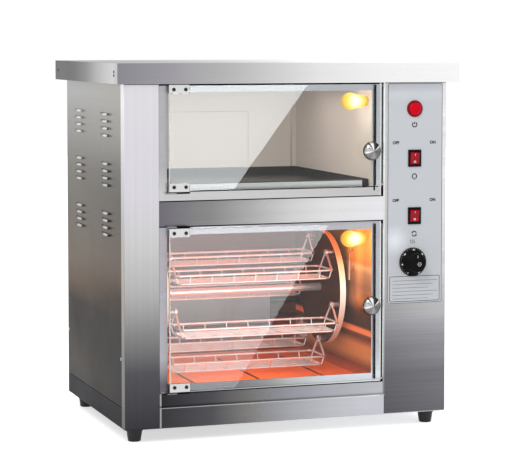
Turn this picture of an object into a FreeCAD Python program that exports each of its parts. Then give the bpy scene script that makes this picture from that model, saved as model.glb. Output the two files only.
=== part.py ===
import FreeCAD, Part
import Sketcher
import math
import os
import re

# Countertop sweet potato roaster, in millimetres.
# +Z is up, the front faces -Y, and the origin is the middle of the overall box at floor level.

document = FreeCAD.newDocument("sweet_potato_roaster")

# Driving dimensions, one spreadsheet cell each. Depths named *_deep run back from the front face.
SIZES = {
    "body_width": 590,
    "body_depth": 410,
    "panel_height": 622.2,
    "steel": 1.2,
    "fold_gap": 0.1,
    "seam_gap": 1.0,
    "foot_height": 24,
    "foot_top_radius": 15,
    "foot_sole_radius": 11,
    "foot_side_inset": 24,
    "foot_front_inset": 30,
    "foot_rear_inset": 38,
    "foot_bolt_radius": 3,
    "foot_bolt_length": 12,
    "pan_flange": 35,
    "cover_height": 35.5,
    "cover_side_reach": 16.5,
    "cover_front_reach": 19,
    "cover_rear_reach": 24,
    "cover_return": 8,
    "cover_rest_gap": 0.1,
    "rivet_radius": 1.8,
    "rivet_proud": 0.8,
    "rivet_spacing": 6,
    "rivet_inset": 22,
    "left_column_width": 61,
    "control_column_width": 116.7,
    "column_return": 32,
    "jamb_depth": 22,
    "control_jamb_depth": 60,
    "louvre_length": 55,
    "louvre_reach": 4.2,
    "louvre_wall": 0.8,
    "louvre_pitch": 12.4,
    "louvre_front_deep": 122.5,
    "louvre_rear_inset": 99.3,
    "louvre_top_drop": 90.2,
    "louvre_row_pitch": 86.3,
    "screw_head_radius": 3,
    "screw_head_height": 1.6,
    "screw_shank_radius": 1.6,
    "screw_shank_length": 6,
    "side_screw_front_deep": 24.5,
    "side_screw_rear_inset": 8,
    "side_screw_drop": 115.2,
    "side_screw_low": 119,
    "rear_flange": 14,
    "vent_slot_length": 60,
    "vent_slot_height": 5,
    "vent_slot_pitch": 12,
    "vent_slot_drop": 172.2,
    "rail_low": 345,
    "rail_height": 43,
    "rail_return": 20,
    "lip_left": 14.2,
    "lip_right": 17.5,
    "lip_top": 14,
    "lip_bottom": 16,
    "dark_gap": 7.3,
    "lower_frame_low": 59.5,
    "liner_steel": 1.0,
    "liner_setback": 1.2,
    "liner_rear_gap": 15,
    "roast_floor": 61,
    "warm_floor_drop": 0.2,
    "crumb_slot_width": 6,
    "crumb_slot_length": 250,
    "crumb_slot_pitch": 121,
    "wool_gap": 0.5,
    "wool_side_thickness": 40,
    "wool_rear_thickness": 10,
    "glass_thickness": 5,
    "glass_standoff": 4,
    "glass_left_lap": 0.8,
    "glass_right_lap": 2,
    "glass_corner_radius": 6,
    "lower_glass_lift": 4.7,
    "lower_glass_drop": 4,
    "upper_glass_lift": 18.5,
    "upper_glass_drop": 3,
    "clip_length": 38,
    "clip_height": 14.5,
    "clip_plate": 1.5,
    "clip_screw_spacing": 21,
    "clip_screw_radius": 2,
    "clip_head_radius": 3.2,
    "clip_head_height": 1.6,
    "pivot_inset": 4.5,
    "pivot_radius": 2.5,
    "pivot_clearance": 0.06,
    "bracket_gap": 1.4,
    "bracket_plate": 2.4,
    "bracket_side_reach": 8.5,
    "bracket_front_reach": 4,
    "door_knob_inset": 28,
    "lower_knob_lift": 133.4,
    "upper_knob_lift": 62.6,
    "door_knob_radius": 16.4,
    "door_knob_reach": 24,
    "door_knob_neck_radius": 8,
    "door_knob_neck_length": 9,
    "door_knob_bolt_radius": 3,
    "door_knob_nut_radius": 6,
    "door_knob_nut_height": 2.4,
    "seal_width": 4,
    "seal_thickness": 3.2,
    "seal_inset": 11.4,
    "seal_end_inset": 7,
    "label_thickness": 0.4,
    "label_left_inset": 5.7,
    "label_right_inset": 6.5,
    "label_bottom_drop": 73.5,
    "label_top_drop": 2,
    "label_corner_radius": 3,
    "control_axis_inset": 60,
    "dial_axis_inset": 63,
    "indicator_drop": 81.2,
    "indicator_hole_radius": 10,
    "indicator_bezel_radius": 14.8,
    "indicator_bezel_height": 3,
    "indicator_lens_radius": 11.8,
    "indicator_lens_dome": 5,
    "indicator_body_length": 30,
    "light_switch_pitch": 87.5,
    "motor_switch_pitch": 102,
    "switch_bezel_width": 24.6,
    "switch_bezel_height": 30,
    "switch_bezel_proud": 2,
    "switch_window_width": 17.6,
    "switch_window_height": 23,
    "switch_body_width": 21,
    "switch_body_height": 27,
    "switch_body_depth": 24,
    "switch_cutout_clearance": 0.3,
    "rocker_width": 16.8,
    "rocker_radius": 10.9,
    "rocker_pivot_sink": 3.2,
    "rocker_reach": 5.2,
    "rocker_back_reach": 5,
    "rocker_vee": 1.4,
    "rocker_tilt": 8,
    "rocker_pin_radius": 1.5,
    "rocker_pin_length": 1.2,
    "running_clearance": 0.05,
    "dial_pitch": 82,
    "dial_skirt_radius": 25.5,
    "dial_skirt_height": 6,
    "dial_skirt_bevel": 3,
    "dial_cap_radius": 19,
    "dial_reach": 24,
    "dial_shaft_radius": 3,
    "dial_shaft_length": 14,
    "dial_label_gap": 0.6,
    "thermostat_width": 44,
    "thermostat_height": 50,
    "thermostat_depth": 40,
    "sensor_inset": 7,
    "sensor_deep": 90,
    "sensor_drop": 54,
    "capillary_drop": 47.2,
    "sensor_length": 34,
    "sensor_radius": 3,
    "capillary_radius": 1.2,
    "capillary_rise": 15.5,
    "capillary_bend": 8,
    "capillary_inset": 10.3,
    "lamp_deep": 28,
    "lamp_drop": 20.8,
    "lamp_globe_radius": 15,
    "lamp_reach": 48,
    "lamp_neck_radius": 8,
    "lamp_neck_length": 14,
    "socket_radius": 17,
    "socket_length": 20,
    "socket_bore_gap": 0.2,
    "guard_low": 118,
    "guard_height": 51,
    "guard_depth": 26,
    "guard_left_inset": 30,
    "guard_right_inset": 62,
    "guard_steel": 1,
    "heater_radius": 4,
    "heater_spacing": 26,
    "heater_rear_gap": 9,
    "heater_left_inset": 50,
    "heater_terminal_length": 22,
    "carousel_setback": 2.5,
    "carousel_rise": 9.4,
    "carousel_offset": 5.15,
    "disc_radius": 104,
    "disc_thickness": 1.5,
    "disc_rim_width": 11,
    "disc_side_room": 55.7,
    "disc_hub_radius": 16,
    "disc_hub_length": 12,
    "shaft_radius": 7,
    "bearing_radius": 13,
    "bearing_flange_radius": 20,
    "bearing_flange_thickness": 3,
    "bearing_length": 9,
    "bearing_clearance": 0.05,
    "shaft_left_run": 4,
    "coupling_radius": 13,
    "coupling_length": 26,
    "coupling_gap": 3,
    "spigot_radius": 5,
    "spigot_length": 12,
    "motor_gap": 4,
    "gearbox_radius": 30,
    "gearbox_length": 24,
    "motor_radius": 25,
    "motor_length": 34,
    "motor_bracket_plate": 2,
    "motor_bracket_size": 76,
    "motor_bracket_foot": 14,
    "motor_bracket_hole_radius": 14,
    "basket_pivot_radius": 96,
    "basket_first_angle": 47,
    "basket_end_room": 22,
    "basket_width": 80,
    "basket_rim_drop": 28,
    "basket_floor_drop": 43,
    "basket_floor_width": 66,
    "basket_corner_radius": 9,
    "basket_rim_wire": 2,
    "basket_floor_wire": 1.6,
    "basket_rib_wire": 1.25,
    "basket_hanger_wire": 2,
    "basket_eye_radius": 5.8,
    "basket_eye_width": 4,
    "basket_pin_radius": 3,
    "basket_pin_collar_radius": 5,
    "basket_end_gap": 0.5,
    "basket_pin_end": 2,
    "warm_tray_side_gap": 1.6,
    "warm_tray_front_deep": 16,
    "warm_tray_rear_gap": 4,
    "warm_tray_height": 15,
    "warm_tray_wall": 1,
    "warm_tray_floor_gap": 0.3,
    "tray_rail_height": 13,
    "tray_rail_thickness": 3,
    "tray_rail_left_inset": 6,
    "tray_rail_right_inset": 6.5,
    "crumb_face_low": 36,
    "crumb_face_high": 58.6,
    "crumb_face_gap": 0.8,
    "crumb_lip": 6,
    "crumb_tray_lift": 2.5,
    "crumb_tray_top": 56.5,
    "crumb_tray_rear_gap": 50,
    "crumb_tray_wall": 1,
    "crumb_tray_side_gap": 4,
    "runner_steel": 1.5,
    "runner_ledge": 15,
    "runner_gap": 0.3,
    "runner_front_deep": 4,
    "gland_height": 66,
    "gland_radius": 10,
    "gland_flange_radius": 14,
    "gland_flange_thickness": 4,
    "gland_reach": 14,
    "gland_bore_radius": 4,
    "terminal_length": 60,
    "terminal_depth": 24,
    "terminal_height": 18,
    "terminal_rear_gap": 40,
}

# Places worked out from the driving dimensions, kept as formulas in a second sheet. Names that end
# in _low, _high, _height, _row, _floor or _ceiling count up from the underside of the base pan.
PLACES = {
    "half_body": "body_width / 2",
    "front_reach": "glass_standoff + glass_thickness + door_knob_reach",
    "front": "(front_reach - body_depth - cover_rear_reach) / 2",
    "back": "front + body_depth",
    "base": "foot_height",
    "body_top": "base + panel_height",
    "cover_top": "body_top + cover_rest_gap + steel",
    "cover_low": "cover_top - cover_height",
    "cover_half": "half_body + cover_side_reach",
    "column_low": "base + steel",
    "jamb_left": "left_column_width - half_body",
    "jamb_right": "half_body - control_column_width",
    "lip_left_x": "jamb_left + lip_left",
    "frame_right_x": "jamb_right - dark_gap",
    "lip_right_x": "frame_right_x - lip_right",
    "rail_top": "rail_low + rail_height",
    "upper_frame_high": "panel_height + cover_rest_gap + steel - cover_height",
    "louvre_rear_deep": "body_depth - louvre_rear_inset",
    "louvre_top_row": "panel_height - louvre_top_drop",
    "louvre_middle_row": "louvre_top_row - louvre_row_pitch",
    "louvre_bottom_row": "louvre_middle_row - louvre_row_pitch",
    "side_screw_high": "panel_height - side_screw_drop",
    "vent_slot_low": "panel_height - vent_slot_drop",
    "lower_lip_low": "lower_frame_low + lip_bottom",
    "lower_lip_high": "rail_low - lip_top",
    "upper_lip_low": "rail_top + lip_bottom",
    "upper_lip_high": "upper_frame_high - lip_top",
    "liner_left": "lip_left_x - liner_setback",
    "liner_right": "lip_right_x + liner_setback",
    "liner_depth": "body_depth - liner_rear_gap",
    "liner_back": "front + liner_depth",
    "wall_outer": "liner_right + liner_steel",
    "roast_ceiling": "lower_lip_high + liner_setback",
    "warm_floor": "upper_lip_low - warm_floor_drop - liner_setback",
    "warm_ceiling": "upper_lip_high + liner_setback",
    "upper_lamp_height": "warm_ceiling - lamp_drop",
    "lower_lamp_height": "roast_ceiling - lamp_drop",
    "lower_glass_low": "lower_frame_low + lower_glass_lift",
    "lower_glass_high": "rail_low - lower_glass_drop",
    "upper_glass_low": "rail_top + upper_glass_lift",
    "upper_glass_high": "upper_frame_high - upper_glass_drop",
    "lower_knob_height": "lower_glass_low + lower_knob_lift",
    "upper_knob_height": "upper_glass_low + upper_knob_lift",
    "glass_left": "lip_left_x + glass_left_lap",
    "glass_right": "frame_right_x + glass_right_lap",
    "glass_back": "front - glass_standoff",
    "glass_front": "glass_back - glass_thickness",
    "pivot_x": "glass_left + pivot_inset",
    "pivot_y": "glass_back - glass_thickness / 2",
    "clip_back": "glass_back + clip_plate",
    "clip_front": "glass_front - clip_plate",
    "door_knob_x": "glass_right - door_knob_inset",
    "label_front": "front - label_thickness",
    "control_x": "half_body - control_axis_inset",
    "dial_x": "half_body - dial_axis_inset",
    "indicator_height": "panel_height - indicator_drop",
    "light_switch_height": "indicator_height - light_switch_pitch",
    "motor_switch_height": "light_switch_height - motor_switch_pitch",
    "dial_height": "motor_switch_height - dial_pitch",
    "label_low": "dial_height - label_bottom_drop",
    "label_high": "upper_frame_high - label_top_drop",
    "capillary_height": "roast_ceiling - capillary_drop",
    "capillary_end_height": "dial_height + capillary_rise",
    "capillary_end_x": "dial_x - capillary_inset",
    "sensor_low": "capillary_height - sensor_drop",
    "carousel_deep": "liner_depth / 2 + carousel_setback",
    "carousel_height": "(roast_floor + roast_ceiling) / 2 + carousel_rise",
    "carousel_shift": "(liner_left + liner_right) / 2 + carousel_offset",
    "disc_spacing": "liner_right - liner_left - disc_side_room",
    "basket_length": "disc_spacing - basket_end_room",
    "crumb_tray_depth": "body_depth - crumb_tray_rear_gap",
    "carousel_y": "front + carousel_deep",
    "carousel_z": "base + carousel_height",
    "disc_left_x": "carousel_shift - disc_spacing / 2",
    "disc_right_x": "carousel_shift + disc_spacing / 2",
    "coupling_x": "wall_outer + bearing_flange_thickness + coupling_gap",
    "motor_x": "coupling_x + coupling_length + motor_gap",
    "lamp_y": "front + lamp_deep",
    "crumb_floor": "crumb_face_low + crumb_tray_lift",
    "crumb_left": "jamb_left + crumb_tray_side_gap",
    "crumb_right": "wall_outer + crumb_tray_side_gap",
    "dial_back": "label_front - dial_label_gap",
    "sensor_x": "liner_right - sensor_inset",
    "sensor_y": "front + sensor_deep",
}

sizes = document.addObject("Spreadsheet::Sheet", "sizes")
places = document.addObject("Spreadsheet::Sheet", "places")


def qualified(text):
    """Puts the sheet's name before each named value in a formula."""
    def prefix(match):
        word = match.group(0)
        if word in SIZES:
            return "sizes." + word
        if word in PLACES:
            return "places." + word
        return word
    return re.sub(r"[a-z][a-z_0-9]*", prefix, str(text))


for row, (name, value) in enumerate(SIZES.items(), 1):
    sizes.set("A%d" % row, name)
    sizes.set("B%d" % row, str(value))
    sizes.setAlias("B%d" % row, name)
for row, (name, formula) in enumerate(PLACES.items(), 1):
    places.set("A%d" % row, name)
    places.set("B%d" % row, "=" + qualified(formula))
    places.setAlias("B%d" % row, name)
document.recompute()


def size(name):
    """The number in a named cell of either sheet."""
    return float((sizes if name in SIZES else places).get(name))


# Building blocks. Every length and place is a formula in the named values.

TURNS = {
    "x": FreeCAD.Rotation(FreeCAD.Vector(0, 1, 0), 90),
    "-x": FreeCAD.Rotation(FreeCAD.Vector(0, 1, 0), -90),
    "y": FreeCAD.Rotation(FreeCAD.Vector(1, 0, 0), -90),
    "-y": FreeCAD.Rotation(FreeCAD.Vector(1, 0, 0), 90),
    "z": FreeCAD.Rotation(),
    "-z": FreeCAD.Rotation(FreeCAD.Vector(1, 0, 0), 180),
}
NODES = []


def bind(item, **formulas):
    for prop, formula in formulas.items():
        item.setExpression(prop, qualified(formula))


def place(item, spot, axis="z"):
    item.Placement = FreeCAD.Placement(FreeCAD.Vector(), TURNS[axis])
    for letter, formula in zip("xyz", spot):
        item.setExpression(".Placement.Base." + letter, qualified(formula))
    return item


def box(name, across, deep, high):
    """A block between two places on each axis."""
    item = document.addObject("Part::Box", name)
    bind(item, Length="(%s) - (%s)" % across[::-1], Width="(%s) - (%s)" % deep[::-1])
    bind(item, Height="(%s) - (%s)" % high[::-1])
    return place(item, (across[0], deep[0], high[0]))


def cylinder(name, start, axis, radius, length):
    item = document.addObject("Part::Cylinder", name)
    bind(item, Radius=radius, Height=length)
    return place(item, start, axis)


def cone(name, start, axis, radius, end_radius, length):
    item = document.addObject("Part::Cone", name)
    bind(item, Radius1=radius, Radius2=end_radius, Height=length)
    return place(item, start, axis)


def fuse(name, items):
    item = document.addObject("Part::MultiFuse", name)
    item.Shapes = items
    return item


def common(name, items):
    item = document.addObject("Part::MultiCommon", name)
    item.Shapes = items
    return item


def cut(name, base, tools):
    item = document.addObject("Part::Cut", name)
    item.Base = base
    item.Tool = tools[0] if len(tools) == 1 else fuse(name + "_tools", tools)
    return item


def group(name, items):
    item = document.addObject("Part::Compound", name)
    item.Links = items
    return item


def node(label, item):
    """Marks a finished piece, or a group of like pieces, as a node of its own."""
    item.Label = label
    NODES.append(item)
    return item


def shaped(name, shape):
    """A piece whose shape comes from a loop over the sheet's values."""
    item = document.addObject("Part::Feature", name)
    item.Shape = shape
    return item


def outline(body, plane, corners):
    """A closed sketch of straight sides, each corner tied to the sheets."""
    sketch = body.newObject("Sketcher::SketchObject", body.Name + "_outline")
    origin = [item for item in body.Origin.OriginFeatures if item.Role == plane]
    sketch.AttachmentSupport = (origin[0], "")
    sketch.MapMode = "FlatFace"
    count = len(corners)
    ring = [FreeCAD.Vector(100 * math.cos(math.tau * i / count), 100 * math.sin(math.tau * i / count), 0)
            for i in range(count)]
    for i in range(count):
        sketch.addGeometry(Part.LineSegment(ring[i], ring[(i + 1) % count]), False)
    for i in range(count):
        sketch.addConstraint(Sketcher.Constraint("Coincident", i, 2, (i + 1) % count, 1))
    for i, corner in enumerate(corners):
        for kind, start, formula in zip(("DistanceX", "DistanceY"), (ring[i].x, ring[i].y), corner):
            number = sketch.addConstraint(Sketcher.Constraint(kind, -1, 1, i, 1, start))
            sketch.setExpression("Constraints[%d]" % number, qualified(formula))
    return sketch


def folded(name, corners, low, high):
    """Sheet folded to an outline seen from above, standing between two heights."""
    body = document.addObject("PartDesign::Body", name)
    pad = body.newObject("PartDesign::Pad", name + "_pad")
    pad.Profile = outline(body, "XY_Plane", corners)
    bind(pad, Length="(%s) - (%s)" % (high, low))
    return place(body, ("0", "0", low))


def turned(name, corners, spot, axis):
    """A piece turned on a lathe: corners are radius and length along the axis."""
    body = document.addObject("PartDesign::Body", name)
    sketch = outline(body, "XZ_Plane", corners)
    turning = body.newObject("PartDesign::Revolution", name + "_turning")
    turning.Profile = sketch
    turning.ReferenceAxis = (sketch, ["V_Axis"])
    turning.Angle = 360
    return place(body, spot, axis)


def tray(name, across, deep, low, high, wall):
    """An open-topped pan of one wall thickness."""
    inside = box(name + "_inside", ("%s + %s" % (across[0], wall), "%s - %s" % (across[1], wall)),
                 ("%s + %s" % (deep[0], wall), "%s - %s" % (deep[1], wall)),
                 ("%s + %s" % (low, wall), "%s + %s" % (high, wall)))
    return cut(name, box(name + "_block", across, deep, (low, high)), [inside])


# Base pan, with its front flange left out where the two columns stand.

pan = tray("pan", ("-half_body", "half_body"), ("front", "back"), "base", "base + pan_flange", "steel")
column_spaces = [
    box("left_column_space", ("-half_body - steel", "jamb_left"),
        ("front - steel", "front + steel + fold_gap"),
        ("column_low", "base + pan_flange + steel")),
    box("control_column_space", ("jamb_right", "half_body + steel"),
        ("front - steel", "front + steel + fold_gap"),
        ("column_low", "base + pan_flange + steel")),
]
foot_spots = [("%s * (half_body - foot_side_inset)" % side, deep)
              for side in ("-1", "1")
              for deep in ("front + foot_front_inset", "back - foot_rear_inset")]
foot_holes = [cylinder("foot_hole_%d" % i, (across, deep, "base - steel"), "z", "foot_bolt_radius",
                       "3 * steel")
              for i, (across, deep) in enumerate(foot_spots)]
node("base_pan", cut("base_pan_cut", pan, column_spaces + foot_holes))

feet = []
for i, (across, deep) in enumerate(foot_spots):
    rubber = cone("foot_rubber_%d" % i, (across, deep, "0"), "z", "foot_sole_radius", "foot_top_radius",
                  "foot_height")
    bolt = cylinder("foot_bolt_%d" % i, (across, deep, "foot_height / 2"), "z", "foot_bolt_radius",
                    "foot_height / 2 + foot_bolt_length")
    feet.append(fuse("foot_%d" % i, [rubber, bolt]))
node("feet", group("feet_group", feet))

# Front columns: folded sheet, each with a return behind its side panel and a jamb beside the doors.

left_fold = [
    ("-half_body", "front"), ("jamb_left", "front"), ("jamb_left", "front + jamb_depth"),
    ("jamb_left - steel", "front + jamb_depth"), ("jamb_left - steel", "front + steel"),
    ("-half_body + 2 * steel + fold_gap", "front + steel"),
    ("-half_body + 2 * steel + fold_gap", "front + column_return"),
    ("-half_body + steel + fold_gap", "front + column_return"),
    ("-half_body + steel + fold_gap", "front + steel"), ("-half_body", "front + steel"),
]
node("left_column", folded("left_column_fold", left_fold, "column_low", "body_top"))

control_fold = [
    ("jamb_right", "front"), ("half_body", "front"), ("half_body", "front + steel"),
    ("half_body - steel - fold_gap", "front + steel"),
    ("half_body - steel - fold_gap", "front + column_return"),
    ("half_body - 2 * steel - fold_gap", "front + column_return"),
    ("half_body - 2 * steel - fold_gap", "front + steel"), ("jamb_right + steel", "front + steel"),
    ("jamb_right + steel", "front + control_jamb_depth"), ("jamb_right", "front + control_jamb_depth"),
]
SWITCHES = {"light": "base + light_switch_height", "motor": "base + motor_switch_height"}
indicator_spot = "base + indicator_height"
dial_spot = "base + dial_height"


def control_openings(prefix):
    """Holes for the lamp, the switches and the dial shaft, through the column and its label."""
    depth = ("label_front - steel", "front + 2 * steel")
    through = "3 * steel + label_thickness"
    holes = [
        cylinder(prefix + "_lamp_hole", ("control_x", depth[0], indicator_spot), "y",
                 "indicator_hole_radius + switch_cutout_clearance", through),
        cylinder(prefix + "_dial_hole", ("dial_x", depth[0], dial_spot), "y",
                 "dial_shaft_radius + switch_cutout_clearance", through),
    ]
    for name, height in SWITCHES.items():
        across = "(switch_body_width / 2 + switch_cutout_clearance)"
        half = "(switch_body_height / 2 + switch_cutout_clearance)"
        holes.append(box(prefix + "_" + name + "_cutout",
                         ("control_x - " + across, "control_x + " + across), depth,
                         ("%s - %s" % (height, half), "%s + %s" % (height, half))))
    return holes


column_sheet = folded("control_column_fold", control_fold, "column_low", "body_top")
node("control_column", cut("control_column_cut", column_sheet, control_openings("column")))

# Middle rail between the doors: a channel open to the rear.

rail = box("rail_block", ("jamb_left", "jamb_right"), ("front", "front + rail_return"),
           ("base + rail_low", "base + rail_top"))
rail_hollow = box("rail_hollow", ("jamb_left - steel", "jamb_right + steel"),
                  ("front + steel", "front + rail_return + steel"),
                  ("base + rail_low + steel", "base + rail_top - steel"))
node("middle_rail", cut("middle_rail_cut", rail, [rail_hollow]))

# Side panels with pressed louvres: three groups of four hoods in two columns.


def louvre_spots():
    for group_height in ("louvre_top_row", "louvre_middle_row", "louvre_bottom_row"):
        for step in range(4):
            for deep in ("louvre_front_deep", "louvre_rear_deep"):
                yield (size("front") + size(deep),
                       size("base") + size(group_height) - step * size("louvre_pitch"))


def louvre_tools(outer_face, outward):
    """Hoods that stand out of a side panel, and the slots behind them."""
    reach, wall, length = size("louvre_reach"), size("louvre_wall"), size("louvre_length")
    hoods = []
    slots = []
    for middle, height in louvre_spots():
        start = FreeCAD.Vector(outer_face, middle - length / 2, height)
        along = FreeCAD.Vector(0, 1, 0)
        hood = Part.makeCylinder(reach, length, start, along)
        inside = Part.makeCylinder(reach - wall, length - 2 * wall, start + along * wall, along)
        quarter = Part.makeBox(reach, length, reach)
        quarter.translate(FreeCAD.Vector(min(outer_face, outer_face + outward * reach), start.y, height))
        hoods.append(hood.common(quarter).cut(inside))
        slot = Part.makeBox(4 * size("steel"), length - 2 * wall, reach - wall)
        slot.translate(FreeCAD.Vector(outer_face - 2 * size("steel"), start.y + wall, height))
        slots.append(slot)
    return hoods, slots


def side_screw_spots():
    for deep in ("front + side_screw_front_deep", "back - side_screw_rear_inset"):
        for height in ("base + side_screw_high", "base + side_screw_low"):
            yield deep, height


for side, sign in (("left", "-1"), ("right", "1")):
    faces = ("%s * half_body" % sign, "%s * (half_body - steel)" % sign)
    across = faces if side == "left" else faces[::-1]
    panel = box(side + "_panel_sheet", across, ("front + steel + 2 * fold_gap", "back"),
                ("base + pan_flange + seam_gap", "body_top"))
    hoods, slots = louvre_tools(float(sign) * size("half_body"), float(sign))
    slot_set = shaped(side + "_louvre_slots", Part.makeCompound(slots))
    hood_set = shaped(side + "_louvre_hoods", Part.makeCompound(hoods))
    screw_holes = [cylinder("%s_screw_hole_%d" % (side, i),
                            ("%s * (half_body - 2 * steel)" % sign, deep, height),
                            "x" if side == "right" else "-x", "screw_shank_radius", "3 * steel")
                   for i, (deep, height) in enumerate(side_screw_spots())]
    pierced = cut(side + "_panel_pierced", panel, [slot_set] + screw_holes)
    node(side + "_side_panel", fuse(side + "_panel_pressed", [pierced, hood_set]))

# Rear panel: flanged sheet with vent slots and a cable hole.

rear_fold = [
    ("-half_body + steel + fold_gap", "back - rear_flange"), ("-half_body + steel + fold_gap", "back"),
    ("half_body - steel - fold_gap", "back"), ("half_body - steel - fold_gap", "back - rear_flange"),
    ("half_body - 2 * steel - fold_gap", "back - rear_flange"),
    ("half_body - 2 * steel - fold_gap", "back - steel"),
    ("-half_body + 2 * steel + fold_gap", "back - steel"),
    ("-half_body + 2 * steel + fold_gap", "back - rear_flange"),
]
rear_sheet = folded("rear_fold", rear_fold, "base + pan_flange + seam_gap", "body_top")
vents = []
for column in (-1, 0, 1):
    for step in range(5):
        middle = "%d * 2 * vent_slot_length" % column
        low = "base + vent_slot_low + %d * vent_slot_pitch" % step
        vents.append(box("vent_%d_%d" % (column + 1, step),
                         (middle + " - vent_slot_length / 2", middle + " + vent_slot_length / 2"),
                         ("back - 2 * steel", "back + steel"), (low, low + " + vent_slot_height")))
gland_hole = cylinder("gland_hole", ("control_x", "back - 2 * steel", "base + gland_height"), "y",
                      "gland_radius", "4 * steel")
rear_screws = [("%d * (half_body - 6 * rear_flange) / 2" % step, height)
               for step in (-2, 0, 2) for height in ("base + side_screw_high + louvre_length",
                                                     "base + side_screw_low")]
rear_holes = [cylinder("rear_screw_hole_%d" % i, (across, "back - 2 * steel", height), "y",
                       "screw_shank_radius", "4 * steel") for i, (across, height) in enumerate(rear_screws)]
node("rear_panel", cut("rear_panel_cut", rear_sheet, vents + [gland_hole] + rear_holes))

# Top cover: an upturned tray with narrow returns, slipped over the top of the body.

cover_across = ("-cover_half", "cover_half")
cover_deep = ("front - cover_front_reach", "back + cover_rear_reach")
cover_block = box("cover_block", cover_across, cover_deep, ("cover_low", "cover_top"))
cover_hollow = box("cover_hollow", ("-cover_half + steel", "cover_half - steel"),
                   (cover_deep[0] + " + steel", cover_deep[1] + " - steel"),
                   ("cover_low + steel", "cover_top - steel"))
cover_mouth = box("cover_mouth", ("-cover_half + cover_return", "cover_half - cover_return"),
                  (cover_deep[0] + " + cover_return", cover_deep[1] + " - cover_return"),
                  ("cover_low - steel", "cover_low + 2 * steel"))
node("top_cover", cut("top_cover_cut", cover_block, [cover_hollow, cover_mouth]))

rivets = []
for sign, axis in (("-1", "-x"), ("1", "x")):
    spots = [("front - cover_front_reach + rivet_inset",
              "cover_low + cover_height / 2 + rivet_spacing / 2"),
             ("front - cover_front_reach + rivet_inset",
              "cover_low + cover_height / 2 - rivet_spacing / 2"),
             ("back + cover_rear_reach - rivet_inset", "cover_low + cover_height / 2")]
    for deep, height in spots:
        rivets.append(cylinder("rivet_%d" % len(rivets), ("%s * cover_half" % sign, deep, height), axis,
                               "rivet_radius", "rivet_proud"))
node("cover_rivets", group("cover_rivets_group", rivets))

# Frames round the two door openings: flat rings that carry the liners behind and the doors in front.


def opening_frame(name, low, high, lip_low, lip_high):
    ring = box(name + "_sheet", ("jamb_left", "frame_right_x"), ("front", "front + steel"), (low, high))
    hole = box(name + "_hole", ("lip_left_x", "lip_right_x"), ("front - steel", "front + 2 * steel"),
               (lip_low, lip_high))
    return cut(name, ring, [hole])


node("upper_opening_frame", opening_frame("upper_ring", "base + rail_top", "body_top",
                                          "base + upper_lip_low", "base + upper_lip_high"))
node("lower_opening_frame", opening_frame("lower_ring", "base + lower_frame_low", "base + rail_low",
                                          "base + lower_lip_low", "base + lower_lip_high"))

# Chamber liners: boxes open to the front.


def lined(name, floor, ceiling):
    shell = box(name + "_block", ("liner_left - liner_steel", "wall_outer"),
                ("front + steel", "liner_back + liner_steel"),
                ("base + %s - liner_steel" % floor, "base + %s + liner_steel" % ceiling))
    room = box(name + "_room", ("liner_left", "liner_right"), ("front", "liner_back"),
               ("base + " + floor, "base + " + ceiling))
    return shell, room


def lamp_hole(name, height):
    return cylinder(name, ("liner_right - steel", "lamp_y", height), "x",
                    "lamp_neck_radius + socket_bore_gap", "liner_steel + 2 * steel")


LAMPS = {"upper": "base + upper_lamp_height", "lower": "base + lower_lamp_height"}
warm_shell, warm_room = lined("warm", "warm_floor", "warm_ceiling")
node("warming_liner", cut("warming_liner_cut", warm_shell,
                          [warm_room, lamp_hole("warm_lamp_hole", LAMPS["upper"])]))

roast_shell, roast_room = lined("roast", "roast_floor", "roast_ceiling")
roast_holes = [lamp_hole("roast_lamp_hole", LAMPS["lower"])]
for i in (-1, 0, 1):
    middle = "carousel_shift + %d * crumb_slot_pitch" % i
    roast_holes.append(box("crumb_slot_%d" % (i + 1),
                           (middle + " - crumb_slot_width / 2", middle + " + crumb_slot_width / 2"),
                           ("carousel_y - crumb_slot_length / 2", "carousel_y + crumb_slot_length / 2"),
                           ("base + roast_floor - 2 * liner_steel", "base + roast_floor + liner_steel")))
for side, start in (("left", "liner_left - 2 * liner_steel"), ("right", "liner_right - liner_steel")):
    roast_holes.append(cylinder(side + "_shaft_hole", (start, "carousel_y", "carousel_z"), "x",
                                "bearing_radius", "3 * liner_steel"))
HEATER_HEIGHTS = ["base + guard_low + guard_height / 2 - heater_spacing / 2",
                  "base + guard_low + guard_height / 2 + heater_spacing / 2"]
heater_y = "liner_back - heater_rear_gap"
for i, height in enumerate(HEATER_HEIGHTS):
    roast_holes.append(cylinder("heater_hole_%d" % i, ("liner_right - liner_steel", heater_y, height), "x",
                                "heater_radius", "3 * liner_steel"))
capillary_z = "base + capillary_height"
roast_holes.append(cylinder("capillary_hole", ("liner_right - liner_steel", "sensor_y", capillary_z), "x",
                            "capillary_radius", "3 * liner_steel"))
node("oven_liner", cut("oven_liner_cut", roast_shell, [roast_room] + roast_holes))

# Glass wool round the roasting chamber.

roast_out = ("base + roast_floor - liner_steel", "base + roast_ceiling + liner_steel")
top_wool = box("top_wool", ("liner_left", "wall_outer"), ("front + rail_return + steel", "liner_back"),
               (roast_out[1] + " + wool_gap", "base + warm_floor - liner_steel - wool_gap"))
side_wool = cut("side_wool", box("side_wool_block",
                ("liner_left - liner_steel - wool_gap - wool_side_thickness",
                 "liner_left - liner_steel - wool_gap"),
                ("front + column_return + steel", "liner_back"), roast_out),
                [cylinder("side_wool_hole", ("liner_left - liner_steel - 2 * wool_side_thickness",
                                             "carousel_y",
                          "carousel_z"), "x", "bearing_flange_radius + wool_gap", "3 * wool_side_thickness")])
rear_wool = box("rear_wool", ("liner_left", "liner_right"),
                ("liner_back + liner_steel + wool_gap",
                 "liner_back + liner_steel + wool_gap + wool_rear_thickness"),
                roast_out)
node("insulation_slabs", group("insulation_group", [top_wool, side_wool, rear_wool]))

# Heater guard on the rear wall, and the bent heating tube behind it.

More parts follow.
